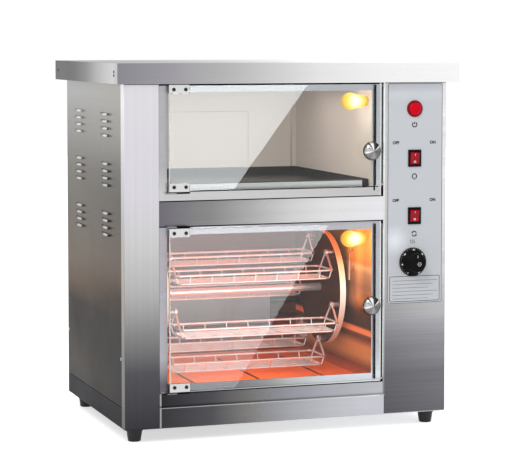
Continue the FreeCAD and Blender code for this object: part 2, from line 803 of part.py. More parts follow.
guard_across = ("liner_left + guard_left_inset", "liner_right - guard_right_inset")
guard_block = box("guard_block", guard_across, ("liner_back - guard_depth", "liner_back"),
                  ("base + guard_low", "base + guard_low + guard_height"))
guard_hollow = box("guard_hollow", ("liner_left", "liner_right"),
                   ("liner_back - guard_depth + guard_steel", "liner_back + guard_steel"),
                   ("base + guard_low + guard_steel", "base + guard_low + guard_height - guard_steel"))
node("heater_guard", cut("heater_guard_cut", guard_block, [guard_hollow]))


def heater_tube():
    """Two straight legs joined by a half ring at the left, and a pin at each cold end."""
    radius, half = size("heater_radius"), size("heater_spacing") / 2
    back = size("liner_back") - size("heater_rear_gap")
    middle = size("base") + size("guard_low") + size("guard_height") / 2
    left = size("liner_left") + size("heater_left_inset")
    right = size("wall_outer") + size("heater_terminal_length") / 2
    along = FreeCAD.Vector(1, 0, 0)
    parts = []
    for height in (middle - half, middle + half):
        parts.append(Part.makeCylinder(radius, right - left, FreeCAD.Vector(left, back, height), along))
        parts.append(Part.makeCylinder(radius / 2, size("heater_terminal_length") / 2,
                                       FreeCAD.Vector(right, back, height), along))
    bend = Part.makeTorus(half, radius, FreeCAD.Vector(left, back, middle), FreeCAD.Vector(0, 1, 0))
    keep = Part.makeBox(2 * half, 4 * radius, 4 * half)
    keep.translate(FreeCAD.Vector(left - 2 * half, back - 2 * radius, middle - 2 * half))
    return parts[0].multiFuse(parts[1:] + [bend.common(keep)])


node("heating_elements", shaped("heater", heater_tube()))

# Lamps: a ceramic socket behind the right wall and a globe reaching into each chamber.

sockets = []
bulbs = []
for name, height in LAMPS.items():
    socket = cylinder(name + "_socket_block", ("wall_outer", "lamp_y", height), "x", "socket_radius",
                      "socket_length")
    bore = cylinder(name + "_socket_bore", ("wall_outer - steel", "lamp_y", height), "x",
                    "lamp_neck_radius + socket_bore_gap", "steel + lamp_neck_length + socket_bore_gap")
    sockets.append(cut(name + "_socket", socket, [bore]))
    globe = document.addObject("Part::Ellipsoid", name + "_globe")
    bind(globe, Radius1="lamp_reach / 2", Radius2="lamp_globe_radius", Radius3="lamp_globe_radius")
    place(globe, ("liner_right - lamp_reach / 2", "lamp_y", height), "x")
    neck = cylinder(name + "_lamp_neck", ("liner_right - lamp_reach / 4", "lamp_y", height), "x",
                    "lamp_neck_radius", "lamp_reach / 4 + liner_steel + lamp_neck_length")
    bulbs.append(fuse(name + "_bulb", [globe, neck]))
node("lamp_sockets", group("lamp_sockets_group", sockets))
node("lamp_bulbs", group("lamp_bulbs_group", bulbs))

# Control label, indicator lamp and switches.

label = box("label_sheet", ("jamb_right + label_left_inset", "half_body - label_right_inset"),
            ("label_front", "front"), ("base + label_low", "base + label_high"))
node("control_label", cut("control_label_cut", label, control_openings("label")))

bezel = [("indicator_hole_radius", "-indicator_body_length"), ("indicator_hole_radius", "0"),
         ("indicator_bezel_radius", "0"), ("indicator_bezel_radius", "indicator_bezel_height / 2"),
         ("indicator_lens_radius + running_clearance", "indicator_bezel_height"),
         ("indicator_lens_radius + running_clearance", "indicator_bezel_height / 3"),
         ("0", "indicator_bezel_height / 3"), ("0", "-indicator_body_length")]
node("indicator_bezel", turned("indicator_bezel_body", bezel, ("control_x", "label_front", indicator_spot),
                               "-y"))
lens = [("0", "indicator_bezel_height / 3"), ("indicator_lens_radius", "indicator_bezel_height / 3"),
        ("indicator_lens_radius", "indicator_bezel_height"),
        ("indicator_lens_radius * 0.93", "indicator_bezel_height + indicator_lens_dome * 0.42"),
        ("indicator_lens_radius * 0.76", "indicator_bezel_height + indicator_lens_dome * 0.72"),
        ("indicator_lens_radius * 0.42", "indicator_bezel_height + indicator_lens_dome * 0.94"),
        ("0", "indicator_bezel_height + indicator_lens_dome")]
node("indicator_lens", turned("indicator_lens_body", lens, ("control_x", "label_front", indicator_spot),
                              "-y"))

housings = []
for name, height in SWITCHES.items():
    bezel_front = "label_front - switch_bezel_proud"
    plate = box(name + "_bezel", ("control_x - switch_bezel_width / 2",
                                  "control_x + switch_bezel_width / 2"),
                (bezel_front, "label_front"),
                (height + " - switch_bezel_height / 2", height + " + switch_bezel_height / 2"))
    shell = box(name + "_switch_body", ("control_x - switch_body_width / 2",
                                        "control_x + switch_body_width / 2"),
                ("label_front", "label_front + switch_body_depth"),
                (height + " - switch_body_height / 2", height + " + switch_body_height / 2"))
    window = box(name + "_window", ("control_x - switch_window_width / 2",
                                    "control_x + switch_window_width / 2"),
                 (bezel_front + " - steel", "label_front + switch_body_depth * 0.6"),
                 (height + " - switch_window_height / 2", height + " + switch_window_height / 2"))
    pivot_y = bezel_front + " + rocker_pivot_sink"
    pin_hole = cylinder(name + "_pin_hole",
                        ("control_x - rocker_width / 2 - rocker_pin_length - running_clearance", pivot_y,
                         height),
                        "x", "rocker_pin_radius + running_clearance",
                        "rocker_width + 2 * rocker_pin_length + 2 * running_clearance")
    housings.append(cut(name + "_housing", fuse(name + "_housing_block", [plate, shell]),
                        [window, pin_hole]))

    drum = cylinder(name + "_rocker_drum", ("-rocker_width / 2", "0", "0"), "x", "rocker_radius",
                    "rocker_width")
    slab = box(name + "_rocker_slab", ("-rocker_width", "rocker_width"),
               ("-rocker_reach", "rocker_back_reach"),
               ("-2 * rocker_radius", "2 * rocker_radius"))
    pin = cylinder(name + "_rocker_pin", ("-rocker_width / 2 - rocker_pin_length", "0", "0"), "x",
                   "rocker_pin_radius", "rocker_width + 2 * rocker_pin_length")
    vee_body = document.addObject("PartDesign::Body", name + "_rocker_vee")
    vee = vee_body.newObject("PartDesign::Pad", name + "_rocker_vee_pad")
    vee.Profile = outline(vee_body, "YZ_Plane", [("-rocker_reach", "-rocker_radius"),
                                                 ("-rocker_reach - 1", "0"),
                                                 ("-rocker_reach", "rocker_radius"),
                                                 ("-rocker_reach + rocker_vee", "0")])
    bind(vee, Length="2 * rocker_width")
    place(vee_body, ("-rocker_width", "0", "0"))
    rocker = cut(name + "_rocker_cut", fuse(name + "_rocker_solid", [
        common(name + "_rocker_core", [drum, slab]), pin]), [vee_body])
    place(rocker, ("control_x", pivot_y, height))
    rocker.Placement = FreeCAD.Placement(rocker.Placement.Base,
                                         FreeCAD.Rotation(FreeCAD.Vector(1, 0, 0), 1))
    rocker.setExpression(".Placement.Rotation.Angle", qualified("rocker_tilt"))
    node(name + "_rocker", rocker)
node("rocker_housings", group("rocker_housings_group", housings))

# Thermostat: body behind the column, dial with its shaft in front, and the sensor in the chamber.

dial = [("0", "0"), ("dial_skirt_radius", "0"), ("dial_skirt_radius",
                                                 "dial_skirt_height - dial_skirt_bevel"),
        ("dial_skirt_radius - dial_skirt_bevel", "dial_skirt_height"), ("dial_cap_radius",
                                                                        "dial_skirt_height"),
        ("dial_cap_radius - dial_skirt_bevel / 3", "dial_reach - dial_skirt_bevel / 2"),
        ("dial_cap_radius - dial_skirt_bevel", "dial_reach"), ("0", "dial_reach")]
dial_head = turned("dial_head", dial, ("dial_x", "dial_back", dial_spot), "-y")
dial_shaft = cylinder("dial_shaft", ("dial_x", "dial_back", dial_spot), "y", "dial_shaft_radius",
                      "dial_shaft_length")
node("thermostat_knob", fuse("thermostat_knob_body", [dial_head, dial_shaft]))

thermostat = box("thermostat_block", ("dial_x - thermostat_width / 2", "dial_x + thermostat_width / 2"),
                 ("front + steel", "front + steel + thermostat_depth"),
                 (dial_spot + " - thermostat_height / 2", dial_spot + " + thermostat_height / 2"))
thermostat_bore = cylinder("thermostat_bore", ("dial_x", "front", dial_spot), "y",
                           "dial_shaft_radius + running_clearance", "dial_shaft_length + steel")
node("thermostat_body", cut("thermostat_cut", thermostat, [thermostat_bore]))


def sensor_tube():
    """Sensor bulb, then the thin capillary up the wall, through it and forward to the thermostat."""
    thin, bend = size("capillary_radius"), size("capillary_bend")
    across, deep, top = size("sensor_x"), size("sensor_y"), size("base") + size("capillary_height")
    low = size("base") + size("sensor_low")
    bulb_top = low + size("sensor_length")
    bulb = Part.makeCylinder(size("sensor_radius"), size("sensor_length"),
                             FreeCAD.Vector(across, deep, low))
    vector = FreeCAD.Vector
    turn = size("capillary_end_x") - bend
    corner = vector(turn + bend, deep, top)
    end = vector(turn + bend, size("front") + size("steel") + size("thermostat_depth"),
                 size("base") + size("capillary_end_height"))
    forward = (end - corner).normalize()
    root = math.sqrt(0.5)
    path = Part.Wire([
        Part.LineSegment(vector(across, deep, bulb_top), vector(across, deep, top - bend)).toShape(),
        Part.Arc(vector(across, deep, top - bend),
                 vector(across + bend - bend * root, deep, top - bend + bend * root),
                 vector(across + bend, deep, top)).toShape(),
        Part.LineSegment(vector(across + bend, deep, top), vector(turn, deep, top)).toShape(),
        Part.Arc(vector(turn, deep, top),
                 vector(turn + bend * root, deep, top) + forward * (bend - bend * root),
                 corner + forward * bend).toShape(),
        Part.LineSegment(corner + forward * bend, end).toShape(),
    ])
    ring = Part.Wire([Part.makeCircle(thin, vector(across, deep, bulb_top), vector(0, 0, 1))])
    tube = path.makePipeShell([ring], True, False)
    clip = Part.makeBox(size("sensor_inset"), 2 * size("sensor_radius") + 2, 6)
    clip.translate(vector(across, deep - size("sensor_radius") - 1, low + size("sensor_length") / 2))
    clip = clip.cut(Part.makeCylinder(size("sensor_radius"), size("sensor_length"),
                                      vector(across, deep, low)))
    return Part.makeCompound([bulb.fuse(tube), clip])


node("thermostat_probe", shaped("probe", sensor_tube()))

# Carousel: shaft, end discs with rims and hubs, pins for the baskets, bearings, coupling and motor.

shaft_start = "liner_left - bearing_length - shaft_left_run"
node("carousel_shaft", cylinder("shaft", (shaft_start, "carousel_y", "carousel_z"), "x", "shaft_radius",
                                "coupling_x + coupling_length / 2 - (%s)" % shaft_start))
basket_angles = ["basket_first_angle + %d" % (60 * i) for i in range(6)]


def pivot_spot(angle):
    """Depth and height of a basket's pins, its angle counted up from the front."""
    return ("carousel_y - basket_pivot_radius * cos(%s)" % angle,
            "carousel_z + basket_pivot_radius * sin(%s)" % angle)


pins = []
for side, plane, axis, sign in (("left", "disc_left_x", "-x", "-1"), ("right", "disc_right_x", "x", "1")):
    disc = [("shaft_radius", "0"), ("disc_radius", "0"), ("disc_radius", "disc_rim_width"),
            ("disc_radius - disc_thickness", "disc_rim_width"), ("disc_radius - disc_thickness",
                                                                 "disc_thickness"),
            ("disc_hub_radius", "disc_thickness"), ("disc_hub_radius", "disc_hub_length"),
            ("shaft_radius", "disc_hub_length")]
    plate = turned(side + "_disc_body", disc, (plane, "carousel_y", "carousel_z"), axis)
    holes = []
    for i, angle in enumerate(basket_angles):
        deep, height = pivot_spot(angle)
        holes.append(cylinder("%s_pin_hole_%d" % (side, i), (plane, deep, height), axis,
                              "basket_pin_radius",
                              "2 * disc_thickness"))
        inner = "carousel_shift + %s * (basket_length / 2 - basket_eye_width - basket_pin_end)" % sign
        collar = "carousel_shift + %s * (basket_length / 2 + basket_end_gap)" % sign
        pin = cylinder("%s_pin_%d" % (side, i), (inner, deep, height), axis, "basket_pin_radius",
                       "abs(%s - (%s)) + disc_thickness" % (plane, inner))
        ring = cylinder("%s_pin_collar_%d" % (side, i), (collar, deep, height), axis,
                        "basket_pin_collar_radius",
                        "abs(%s - (%s))" % (plane, collar))
        pins.append(fuse("%s_basket_pin_%d" % (side, i), [pin, ring]))
    node(side + "_disc", cut(side + "_disc_cut", plate, holes))
node("basket_pins", group("basket_pins_group", pins))


def bearing(name, spot, axis, length):
    """A flanged bush in a liner wall, its flange against the wall's outer face."""
    flange = "liner_steel + bearing_flange_thickness"
    return turned(name, [("shaft_radius + bearing_clearance", "0"), ("bearing_radius", "0"),
                         ("bearing_radius", "liner_steel"), ("bearing_flange_radius", "liner_steel"),
                         ("bearing_flange_radius", flange), ("bearing_radius", flange + " + fold_gap"),
                         ("bearing_radius", length), ("shaft_radius + bearing_clearance",
                                                      length)], spot, axis)


node("shaft_bearings", group("shaft_bearings_group", [
    bearing("left_bearing", ("liner_left", "carousel_y", "carousel_z"), "-x", "bearing_length"),
    bearing("right_bearing", ("liner_right", "carousel_y", "carousel_z"), "x",
            "liner_steel + bearing_flange_thickness + coupling_gap / 2")]))

coupling = cylinder("coupling_sleeve", ("coupling_x", "carousel_y", "carousel_z"), "x", "coupling_radius",
                    "coupling_length")
coupling_bore = cylinder("coupling_bore", ("coupling_x - steel", "carousel_y", "carousel_z"), "x",
                         "shaft_radius",
                         "coupling_length / 2 + steel")
spigot = cylinder("coupling_spigot", ("coupling_x + coupling_length - steel", "carousel_y", "carousel_z"),
                  "x",
                  "spigot_radius", "motor_gap + spigot_length + steel")
node("shaft_coupling", fuse("shaft_coupling_body",
                            [cut("coupling_bored", coupling, [coupling_bore]), spigot]))

gearbox = cylinder("gearbox", ("motor_x", "carousel_y", "carousel_z"), "x", "gearbox_radius",
                   "gearbox_length")
gearbox_bore = cylinder("gearbox_bore", ("motor_x - steel", "carousel_y", "carousel_z"), "x",
                        "spigot_radius + running_clearance", "spigot_length + steel + running_clearance")
can = cylinder("motor_can", ("motor_x + gearbox_length", "carousel_y", "carousel_z"), "x", "motor_radius",
               "motor_length")
node("gear_motor", fuse("gear_motor_body", [cut("gearbox_bored", gearbox, [gearbox_bore]), can]))

half_bracket = "motor_bracket_size / 2"
bracket_deep = ("carousel_y - " + half_bracket, "carousel_y + " + half_bracket)
bracket_plate = box("bracket_plate", ("motor_x - motor_bracket_plate", "motor_x"), bracket_deep,
                    ("carousel_z - " + half_bracket, "carousel_z + " + half_bracket))
bracket_parts = [bracket_plate]
for name, sign in (("low", "-1"), ("high", "1")):
    near = "carousel_z + %s * (%s - motor_bracket_plate)" % (sign, half_bracket)
    far = "carousel_z + %s * %s" % (sign, half_bracket)
    foot_end = "carousel_z + %s * (%s + motor_bracket_foot)" % (sign, half_bracket)
    heights = (far, near) if sign == "-1" else (near, far)
    foot_heights = (foot_end, near) if sign == "-1" else (near, foot_end)
    bracket_parts.append(box("bracket_leg_" + name, ("wall_outer", "motor_x"), bracket_deep, heights))
    bracket_parts.append(box("bracket_foot_" + name, ("wall_outer", "wall_outer + motor_bracket_plate"),
                             bracket_deep, foot_heights))
bracket_hole = cylinder("bracket_hole", ("motor_x - 2 * motor_bracket_plate", "carousel_y", "carousel_z"),
                        "x",
                        "motor_bracket_hole_radius", "3 * motor_bracket_plate")
node("motor_bracket", cut("motor_bracket_cut", fuse("bracket_folds", bracket_parts), [bracket_hole]))

# Wire baskets: rim, floor loop, floor wires, ribs and two end hangers, hung by an eye at each end.


def straight_wire(start, end, radius):
    return Part.makeCylinder(radius, (end - start).Length, start, end - start)


def loop_wire(length, width, height, corner, radius):
    """A flat rounded loop of wire."""
    vector = FreeCAD.Vector
    long_half, wide_half = length / 2 - corner, width / 2 - corner
    parts = []
    for sign in (-1, 1):
        parts.append(straight_wire(vector(-long_half, sign * width / 2, height),
                                   vector(long_half, sign * width / 2, height), radius))
        parts.append(straight_wire(vector(sign * length / 2, -wide_half, height),
                                   vector(sign * length / 2, wide_half, height), radius))
        for other in (-1, 1):
            ring = Part.makeTorus(corner, radius, vector(sign * long_half, other * wide_half, height))
            side = corner + 2 * radius
            quarter = Part.makeBox(side, side, 4 * radius)
            quarter.translate(vector(min(sign * long_half, sign * (long_half + side)),
                                     min(other * wide_half, other * (wide_half + side)),
                                     height - 2 * radius))
            parts.append(ring.common(quarter))
    return parts


def basket_shape():
    vector = FreeCAD.Vector
    rim_wire, floor_wire = size("basket_rim_wire"), size("basket_floor_wire")
    rib_wire, hanger_wire = size("basket_rib_wire"), size("basket_hanger_wire")
    length, width = size("basket_length") - 2 * rim_wire, size("basket_width") - 2 * rim_wire
    rim_z, floor_z = -size("basket_rim_drop"), -size("basket_floor_drop")
    floor_width = size("basket_floor_width")
    taper = width - floor_width
    floor_length = length - taper
    parts = loop_wire(length, width, rim_z, size("basket_corner_radius"), rim_wire)
    parts += loop_wire(floor_length, floor_width, floor_z, size("basket_corner_radius"), floor_wire)
    for step in (-2, -1, 0, 1, 2):
        across = step * floor_width / 6
        parts.append(straight_wire(vector(-floor_length / 2, across, floor_z),
                                   vector(floor_length / 2, across, floor_z), rib_wire))
    for step in range(-3, 4):
        along = step * floor_length / 7
        corners = [vector(along, -width / 2, rim_z), vector(along, -floor_width / 2, floor_z),
                   vector(along, floor_width / 2, floor_z), vector(along, width / 2, rim_z)]
        for start, end in zip(corners, corners[1:]):
            parts.append(straight_wire(start, end, rib_wire))
    for sign in (-1, 1):
        end_x = sign * length / 2
        for other in (-1, 1):
            foot = vector(end_x, other * (width / 2 - size("basket_corner_radius")), rim_z)
            parts.append(straight_wire(vector(end_x, other * rim_wire, 0), foot, hanger_wire))
            parts.append(straight_wire(foot, vector(sign * floor_length / 2, foot.y, floor_z), rib_wire))
    body = parts[0].multiFuse(parts[1:])
    for sign in (-1, 1):
        start = vector(sign * size("basket_length") / 2, 0, 0)
        inward = vector(-sign, 0, 0)
        eye = Part.makeCylinder(size("basket_eye_radius"), size("basket_eye_width"), start, inward)
        bore = Part.makeCylinder(size("basket_pin_radius") + size("running_clearance"),
                                 4 * size("basket_eye_width"),
                                 start - inward * size("basket_eye_width"), inward)
        body = body.fuse(eye).cut(bore)
    return body.removeSplitter()


basket_model = basket_shape()
for i, angle in enumerate(basket_angles):
    basket = shaped("basket_%d_wires" % (i + 1), basket_model)
    deep, height = pivot_spot(angle)
    place(basket, ("carousel_shift", deep, height))
    node("basket_%d" % (i + 1), basket)

# Warming tray with its stainless front rail.

warm_base = "base + warm_floor + warm_tray_floor_gap"
node("warming_tray", tray("warm_tray_pan", ("liner_left + warm_tray_side_gap",
                                            "liner_right - warm_tray_side_gap"),
                          ("front + warm_tray_front_deep", "liner_back - warm_tray_rear_gap"), warm_base,
                          warm_base + " + warm_tray_height", "warm_tray_wall"))
node("tray_front_rail", box("tray_rail", ("liner_left + tray_rail_left_inset",
                                          "liner_right - tray_rail_right_inset"),
                            ("front + warm_tray_front_deep - tray_rail_thickness",
                             "front + warm_tray_front_deep"),
                            (warm_base, warm_base + " + tray_rail_height")))

# Crumb tray below the roasting chamber, and the runners that carry it.

crumb_face = box("crumb_face", ("jamb_left + crumb_face_gap", "jamb_right - crumb_face_gap"),
                 ("front", "front + steel"), ("base + crumb_face_low", "base + crumb_face_high"))
crumb_lip = box("crumb_lip_fold", ("jamb_left + crumb_face_gap", "jamb_right - crumb_face_gap"),
                ("front - crumb_lip", "front"), ("base + crumb_face_low", "base + crumb_face_low + steel"))
crumb_pan = tray("crumb_pan", ("crumb_left", "crumb_right"),
                 ("front + steel / 2", "front + crumb_tray_depth"),
                 "base + crumb_floor", "base + crumb_tray_top", "crumb_tray_wall")
node("crumb_tray", fuse("crumb_tray_body", [crumb_face, crumb_lip, crumb_pan]))

runners = []
for side, edge, sign in (("left", "crumb_left - runner_gap", "1"),
                         ("right", "crumb_right + runner_gap", "-1")):
    outer = "%s - %s * runner_steel" % (edge, sign)
    ledge_end = "%s + %s * runner_ledge" % (edge, sign)
    web_across = (outer, edge) if sign == "1" else (edge, outer)
    ledge_across = (outer, ledge_end) if sign == "1" else (ledge_end, outer)
    deep = ("front + runner_front_deep", "front + crumb_tray_depth")
    web = box(side + "_runner_web", web_across, deep, ("base + steel", "base + crumb_tray_top"))
    ledge = box(side + "_runner_ledge", ledge_across, deep,
                ("base + crumb_floor - runner_gap - runner_steel", "base + crumb_floor - runner_gap"))
    runners.append(fuse(side + "_runner", [web, ledge]))
node("tray_runners", group("tray_runners_group", runners))

# Doors: tempered glass, U clips with pivot pins at the left corners, knob, magnet seal and screws.


def door(name, low, high, knob_height):
    low, high, knob_z = "base + " + low, "base + " + high, "base + " + knob_height
    glass = box(name + "_glass_sheet", ("glass_left", "glass_right"), ("glass_front", "glass_back"),
                (low, high))
    screw_across = ["glass_left + clip_length / 2 + %d * clip_screw_spacing / 2" % step for step in (-1, 1)]
    screw_heights = {"bottom": low + " + clip_height / 2 - clip_plate / 2",
                     "top": high + " - clip_height / 2 + clip_plate / 2"}
    drill = ("clip_front - steel", "clip_back + steel")
    drill_length = "glass_thickness + 2 * clip_plate + 2 * steel"
    holes = [cylinder("%s_glass_hole_%s_%d" % (name, end, i), (across, drill[0], height), "y",
                      "clip_screw_radius", drill_length)
             for end, height in screw_heights.items() for i, across in enumerate(screw_across)]
    knob_hole = cylinder(name + "_knob_hole", ("door_knob_x", drill[0], knob_z), "y",
                         "door_knob_bolt_radius",
                         drill_length)
    drilled = cut(name + "_glass_drilled", glass, holes + [knob_hole])
    corners = document.addObject("Part::Fillet", name + "_glass_corners")
    corners.Base = drilled
    document.recompute()
    right = size("glass_right")
    upright = [i for i, edge in enumerate(drilled.Shape.Edges, 1)
               if abs(edge.BoundBox.XMin - right) < 0.01 and abs(edge.BoundBox.XMax - right) < 0.01
               and edge.BoundBox.YLength > size("glass_thickness") / 2 and edge.BoundBox.ZLength < 0.01]
    corners.Edges = [(i, size("glass_corner_radius"), size("glass_corner_radius")) for i in upright]
    node(name + "_door_glass", corners)

    clips = []
    screws = []
    for end, sign, edge in (("bottom", "1", low), ("top", "-1", high)):
        outer = "%s - %s * clip_plate" % (edge, sign)
        inner = "%s + %s * clip_height" % (outer, sign)
        block_heights = (outer, inner) if sign == "1" else (inner, outer)
        slot_heights = (edge, inner + " + steel") if sign == "1" else (inner + " - steel", edge)
        block = box("%s_%s_clip_block" % (name, end), ("glass_left", "glass_left + clip_length"),
                    ("clip_front", "clip_back"), block_heights)
        slot = box("%s_%s_clip_slot" % (name, end),
                   ("glass_left - steel", "glass_left + clip_length + steel"),
                   ("glass_front", "glass_back"), slot_heights)
        bores = [cylinder("%s_%s_clip_bore_%d" % (name, end, i), (across, drill[0], screw_heights[end]),
                          "y",
                          "clip_screw_radius", drill_length) for i, across in enumerate(screw_across)]
        pin = cylinder("%s_%s_pivot_pin" % (name, end), ("pivot_x", "pivot_y", outer),
                       "-z" if sign == "1" else "z",
                       "pivot_radius", "bracket_gap + bracket_plate")
        clips.append(fuse("%s_%s_clip" % (name, end),
                          [cut("%s_%s_clip_cut" % (name, end), block, [slot] + bores), pin]))
        for i, across in enumerate(screw_across):
            head = cylinder("%s_%s_screw_head_%d" % (name, end, i),
                            (across, "clip_front", screw_heights[end]), "-y",
                            "clip_head_radius", "clip_head_height")
            shank = cylinder("%s_%s_screw_shank_%d" % (name, end, i),
                             (across, "clip_front", screw_heights[end]),
                             "y", "clip_screw_radius", "glass_thickness + 2 * clip_plate")
            screws.append(fuse("%s_%s_screw_%d" % (name, end, i), [head, shank]))
    node(name + "_door_clips", group(name + "_clips_group", clips))
    node(name + "_clip_screws", group(name + "_screws_group", screws))

    knob = [("0", "-glass_thickness"), ("door_knob_bolt_radius", "-glass_thickness"),
            ("door_knob_bolt_radius", "0"),
            ("door_knob_neck_radius", "0"), ("door_knob_neck_radius", "door_knob_neck_length"),
            ("door_knob_radius", "door_knob_neck_length + 2"), ("door_knob_radius", "door_knob_reach - 6"),
            ("door_knob_radius * 0.94", "door_knob_reach - 3.4"), ("door_knob_radius * 0.78",
                                                                   "door_knob_reach - 1.5"),
            ("door_knob_radius * 0.45", "door_knob_reach - 0.4"), ("0", "door_knob_reach")]
    head = turned(name + "_knob_head", knob, ("door_knob_x", "glass_front", knob_z), "-y")
    nut = cylinder(name + "_knob_nut", ("door_knob_x", "glass_back", knob_z), "y", "door_knob_nut_radius",
                   "door_knob_nut_height")
    node(name + "_door_knob", group(name + "_knob_group", [head, nut]))
    node(name + "_door_seal", box(name + "_seal", ("glass_right - seal_inset - seal_width",
                                                   "glass_right - seal_inset"),
                                  ("glass_back", "glass_back + seal_thickness"),
                                  (low + " + seal_end_inset", high + " - seal_end_inset")))


door("upper", "upper_glass_low", "upper_glass_high", "upper_knob_height")
door("lower", "lower_glass_low", "lower_glass_high", "lower_knob_height")

# Pivot brackets: a drilled tab above and below each door.

brackets = []
for low, high in (("upper_glass_low", "upper_glass_high"), ("lower_glass_low", "lower_glass_high")):
    for edge, sign in ((low, "-1"), (high, "1")):
        near = "base + %s + %s * (clip_plate + bracket_gap)" % (edge, sign)
        far = "%s + %s * bracket_plate" % (near, sign)
        tab = box("bracket_tab_%d" % len(brackets),
                  ("pivot_x - bracket_side_reach", "pivot_x + bracket_side_reach"),
                  ("pivot_y - bracket_front_reach", "front"), (far, near) if sign == "-1" else (near, far))
        hole = cylinder("bracket_bore_%d" % len(brackets),
                        ("pivot_x", "pivot_y", "base + %s - bracket_plate - 10" % edge), "z",
                        "pivot_radius + pivot_clearance", "20 + 2 * bracket_plate")
        brackets.append(cut("bracket_%d" % len(brackets), tab, [hole]))
node("pivot_brackets", group("pivot_brackets_group", brackets))

# Cable gland, terminal block and the cabinet's screws.

gland = [("gland_bore_radius", "-gland_reach"), ("gland_radius", "-gland_reach"), ("gland_radius", "0"),
         ("gland_flange_radius", "0"), ("gland_flange_radius", "gland_flange_thickness"),
         ("gland_radius", "gland_reach"), ("gland_bore_radius", "gland_reach")]
node("cable_gland", turned("gland_body", gland, ("control_x", "back", "base + gland_height"), "y"))
node("terminal_block", box("terminal_body", ("control_x - terminal_length / 2",
                                             "control_x + terminal_length / 2"),
                           ("back - terminal_rear_gap - terminal_depth", "back - terminal_rear_gap"),
                           ("base + steel", "base + steel + terminal_height")))


def screw(name, spot, axis, back_axis, shank):
    head = cone(name + "_head", spot, axis, "screw_head_radius", "screw_head_radius * 0.7",
                "screw_head_height")
    stem = cylinder(name + "_stem", spot, back_axis, "screw_shank_radius", shank)
    return fuse(name, [head, stem])


screws = []
for sign, axis, back_axis in (("-1", "-x", "x"), ("1", "x", "-x")):
    for deep, height in side_screw_spots():
        screws.append(screw("side_screw_%d" % len(screws), ("%s * half_body" % sign, deep, height), axis,
                            back_axis,
                            "steel"))
for across, height in rear_screws:
    screws.append(screw("rear_screw_%d" % len(screws), (across, "back", height), "y", "-y", "steel"))
node("cabinet_screws", group("cabinet_screws_group", screws))

# Every object is sound, and every node is a valid shape, before anything is written.

document.recompute()
for item in document.Objects:
    if "Invalid" in item.State or "Error" in item.State:
        raise RuntimeError("%s is %s" % (item.Name, item.State))
os.makedirs("parts", exist_ok=True)
for item in NODES:
    if item.Shape.isNull() or not item.Shape.isValid():
        raise RuntimeError("%s has no valid shape" % item.Label)
for item in NODES:
    item.Shape.exportStep("parts/%s.step" % item.Label)
    print("%-22s %3d solids %12.1f mm3" % (item.Label, len(item.Shape.Solids), item.Shape.Volume))
print(len(NODES), "nodes")
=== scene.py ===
import math

import bmesh
import bpy
from bpy.props import FloatProperty, FloatVectorProperty, IntProperty, PointerProperty
from mathutils import Matrix, Quaternion, Vector
from mathutils.bvhtree import BVHTree


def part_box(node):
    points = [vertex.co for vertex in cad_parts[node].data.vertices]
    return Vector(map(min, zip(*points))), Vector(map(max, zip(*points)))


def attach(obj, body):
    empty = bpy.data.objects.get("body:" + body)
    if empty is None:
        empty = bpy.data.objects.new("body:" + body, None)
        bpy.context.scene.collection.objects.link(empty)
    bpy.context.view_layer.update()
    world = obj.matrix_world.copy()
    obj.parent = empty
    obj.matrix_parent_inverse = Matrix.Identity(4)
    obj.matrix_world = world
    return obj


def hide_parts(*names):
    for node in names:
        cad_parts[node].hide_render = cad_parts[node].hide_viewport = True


# Looks of a countertop roaster with a lit warming chamber over a carousel oven, in metres.
# The camera is the photograph's: 515 x 450 pixels, from the left of the front and just above the top.

bl_info = {
    "name": "Sweet Potato Roaster",
    "version": (1, 0, 0),
    "blender": (4, 5, 0),
    "location": "3D View > Sidebar > Roaster",
    "description": "Finishes the roaster's sheet metal, doors, controls, lamps and chambers over its frame",
    "category": "Object",
}

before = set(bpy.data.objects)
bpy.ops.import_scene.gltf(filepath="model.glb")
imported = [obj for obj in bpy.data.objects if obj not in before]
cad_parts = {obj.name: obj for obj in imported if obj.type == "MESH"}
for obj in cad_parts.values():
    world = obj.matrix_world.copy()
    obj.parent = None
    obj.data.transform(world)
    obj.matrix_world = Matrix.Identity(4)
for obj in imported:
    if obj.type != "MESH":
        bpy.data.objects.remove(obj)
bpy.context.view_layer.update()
MM = 0.001
FLAT_AREA = 40 * MM * MM
FRONT_AXIS = Vector((0, -1, 0))


def linear(tone):
    """Scene-linear colour from a display grey or a display colour."""
    values = (tone, tone, tone) if isinstance(tone, (int, float)) else tone
    return tuple(v / 12.92 if v <= 0.04045 else ((v + 0.055) / 1.055) ** 2.4 for v in values)


def length_prop(name, description, default):
    return FloatProperty(name=name, description=description, default=default, min=0.0, unit="LENGTH")


def colour_prop(name, description, default):
    return FloatVectorProperty(name=name, description=description, default=linear(default), size=3, min=0.0,
                               max=1.0, subtype="COLOR")


class RoasterSheet(bpy.types.PropertyGroup):
    """Sizes and colours of the folded sheet"""
    edge: length_prop("Edge", "Radius of the folded and cut edges of the sheet", 0.0005)
    # Seam is the width of the dark joint strips, which are partly painted shadow.
    seam: length_prop("Seam", "Width of the dark joint between two sheets", 0.0019)
    grain: FloatProperty(name="Grain", description="Brush lines in a metre, across the brushing", default=900.0)
    contrast: FloatProperty(name="Contrast", description="How much the brush lines vary in tone", default=0.05)
    # Fold Tone is the colour of the painted highlight on the folds and cut edges.
    fold_highlight_tone: colour_prop("Fold Tone", "Colour of the rubbed folds", (0.93, 0.93, 0.94))


class RoasterDoors(bpy.types.PropertyGroup):
    """Sizes and colours of the two doors"""
    polish: length_prop("Polish", "Width of the ground bevel round the glass", 0.0006)
    glass_edge: colour_prop("Glass Edge", "Colour of the cut edge of the glass", (0.80, 0.88, 0.87))
    haze: FloatProperty(name="Haze", description="Strength of the white reflection in each door", default=22.0)
    rib_pitch: length_prop("Rib Pitch", "Distance between two ribs of the magnet strip", 0.004)


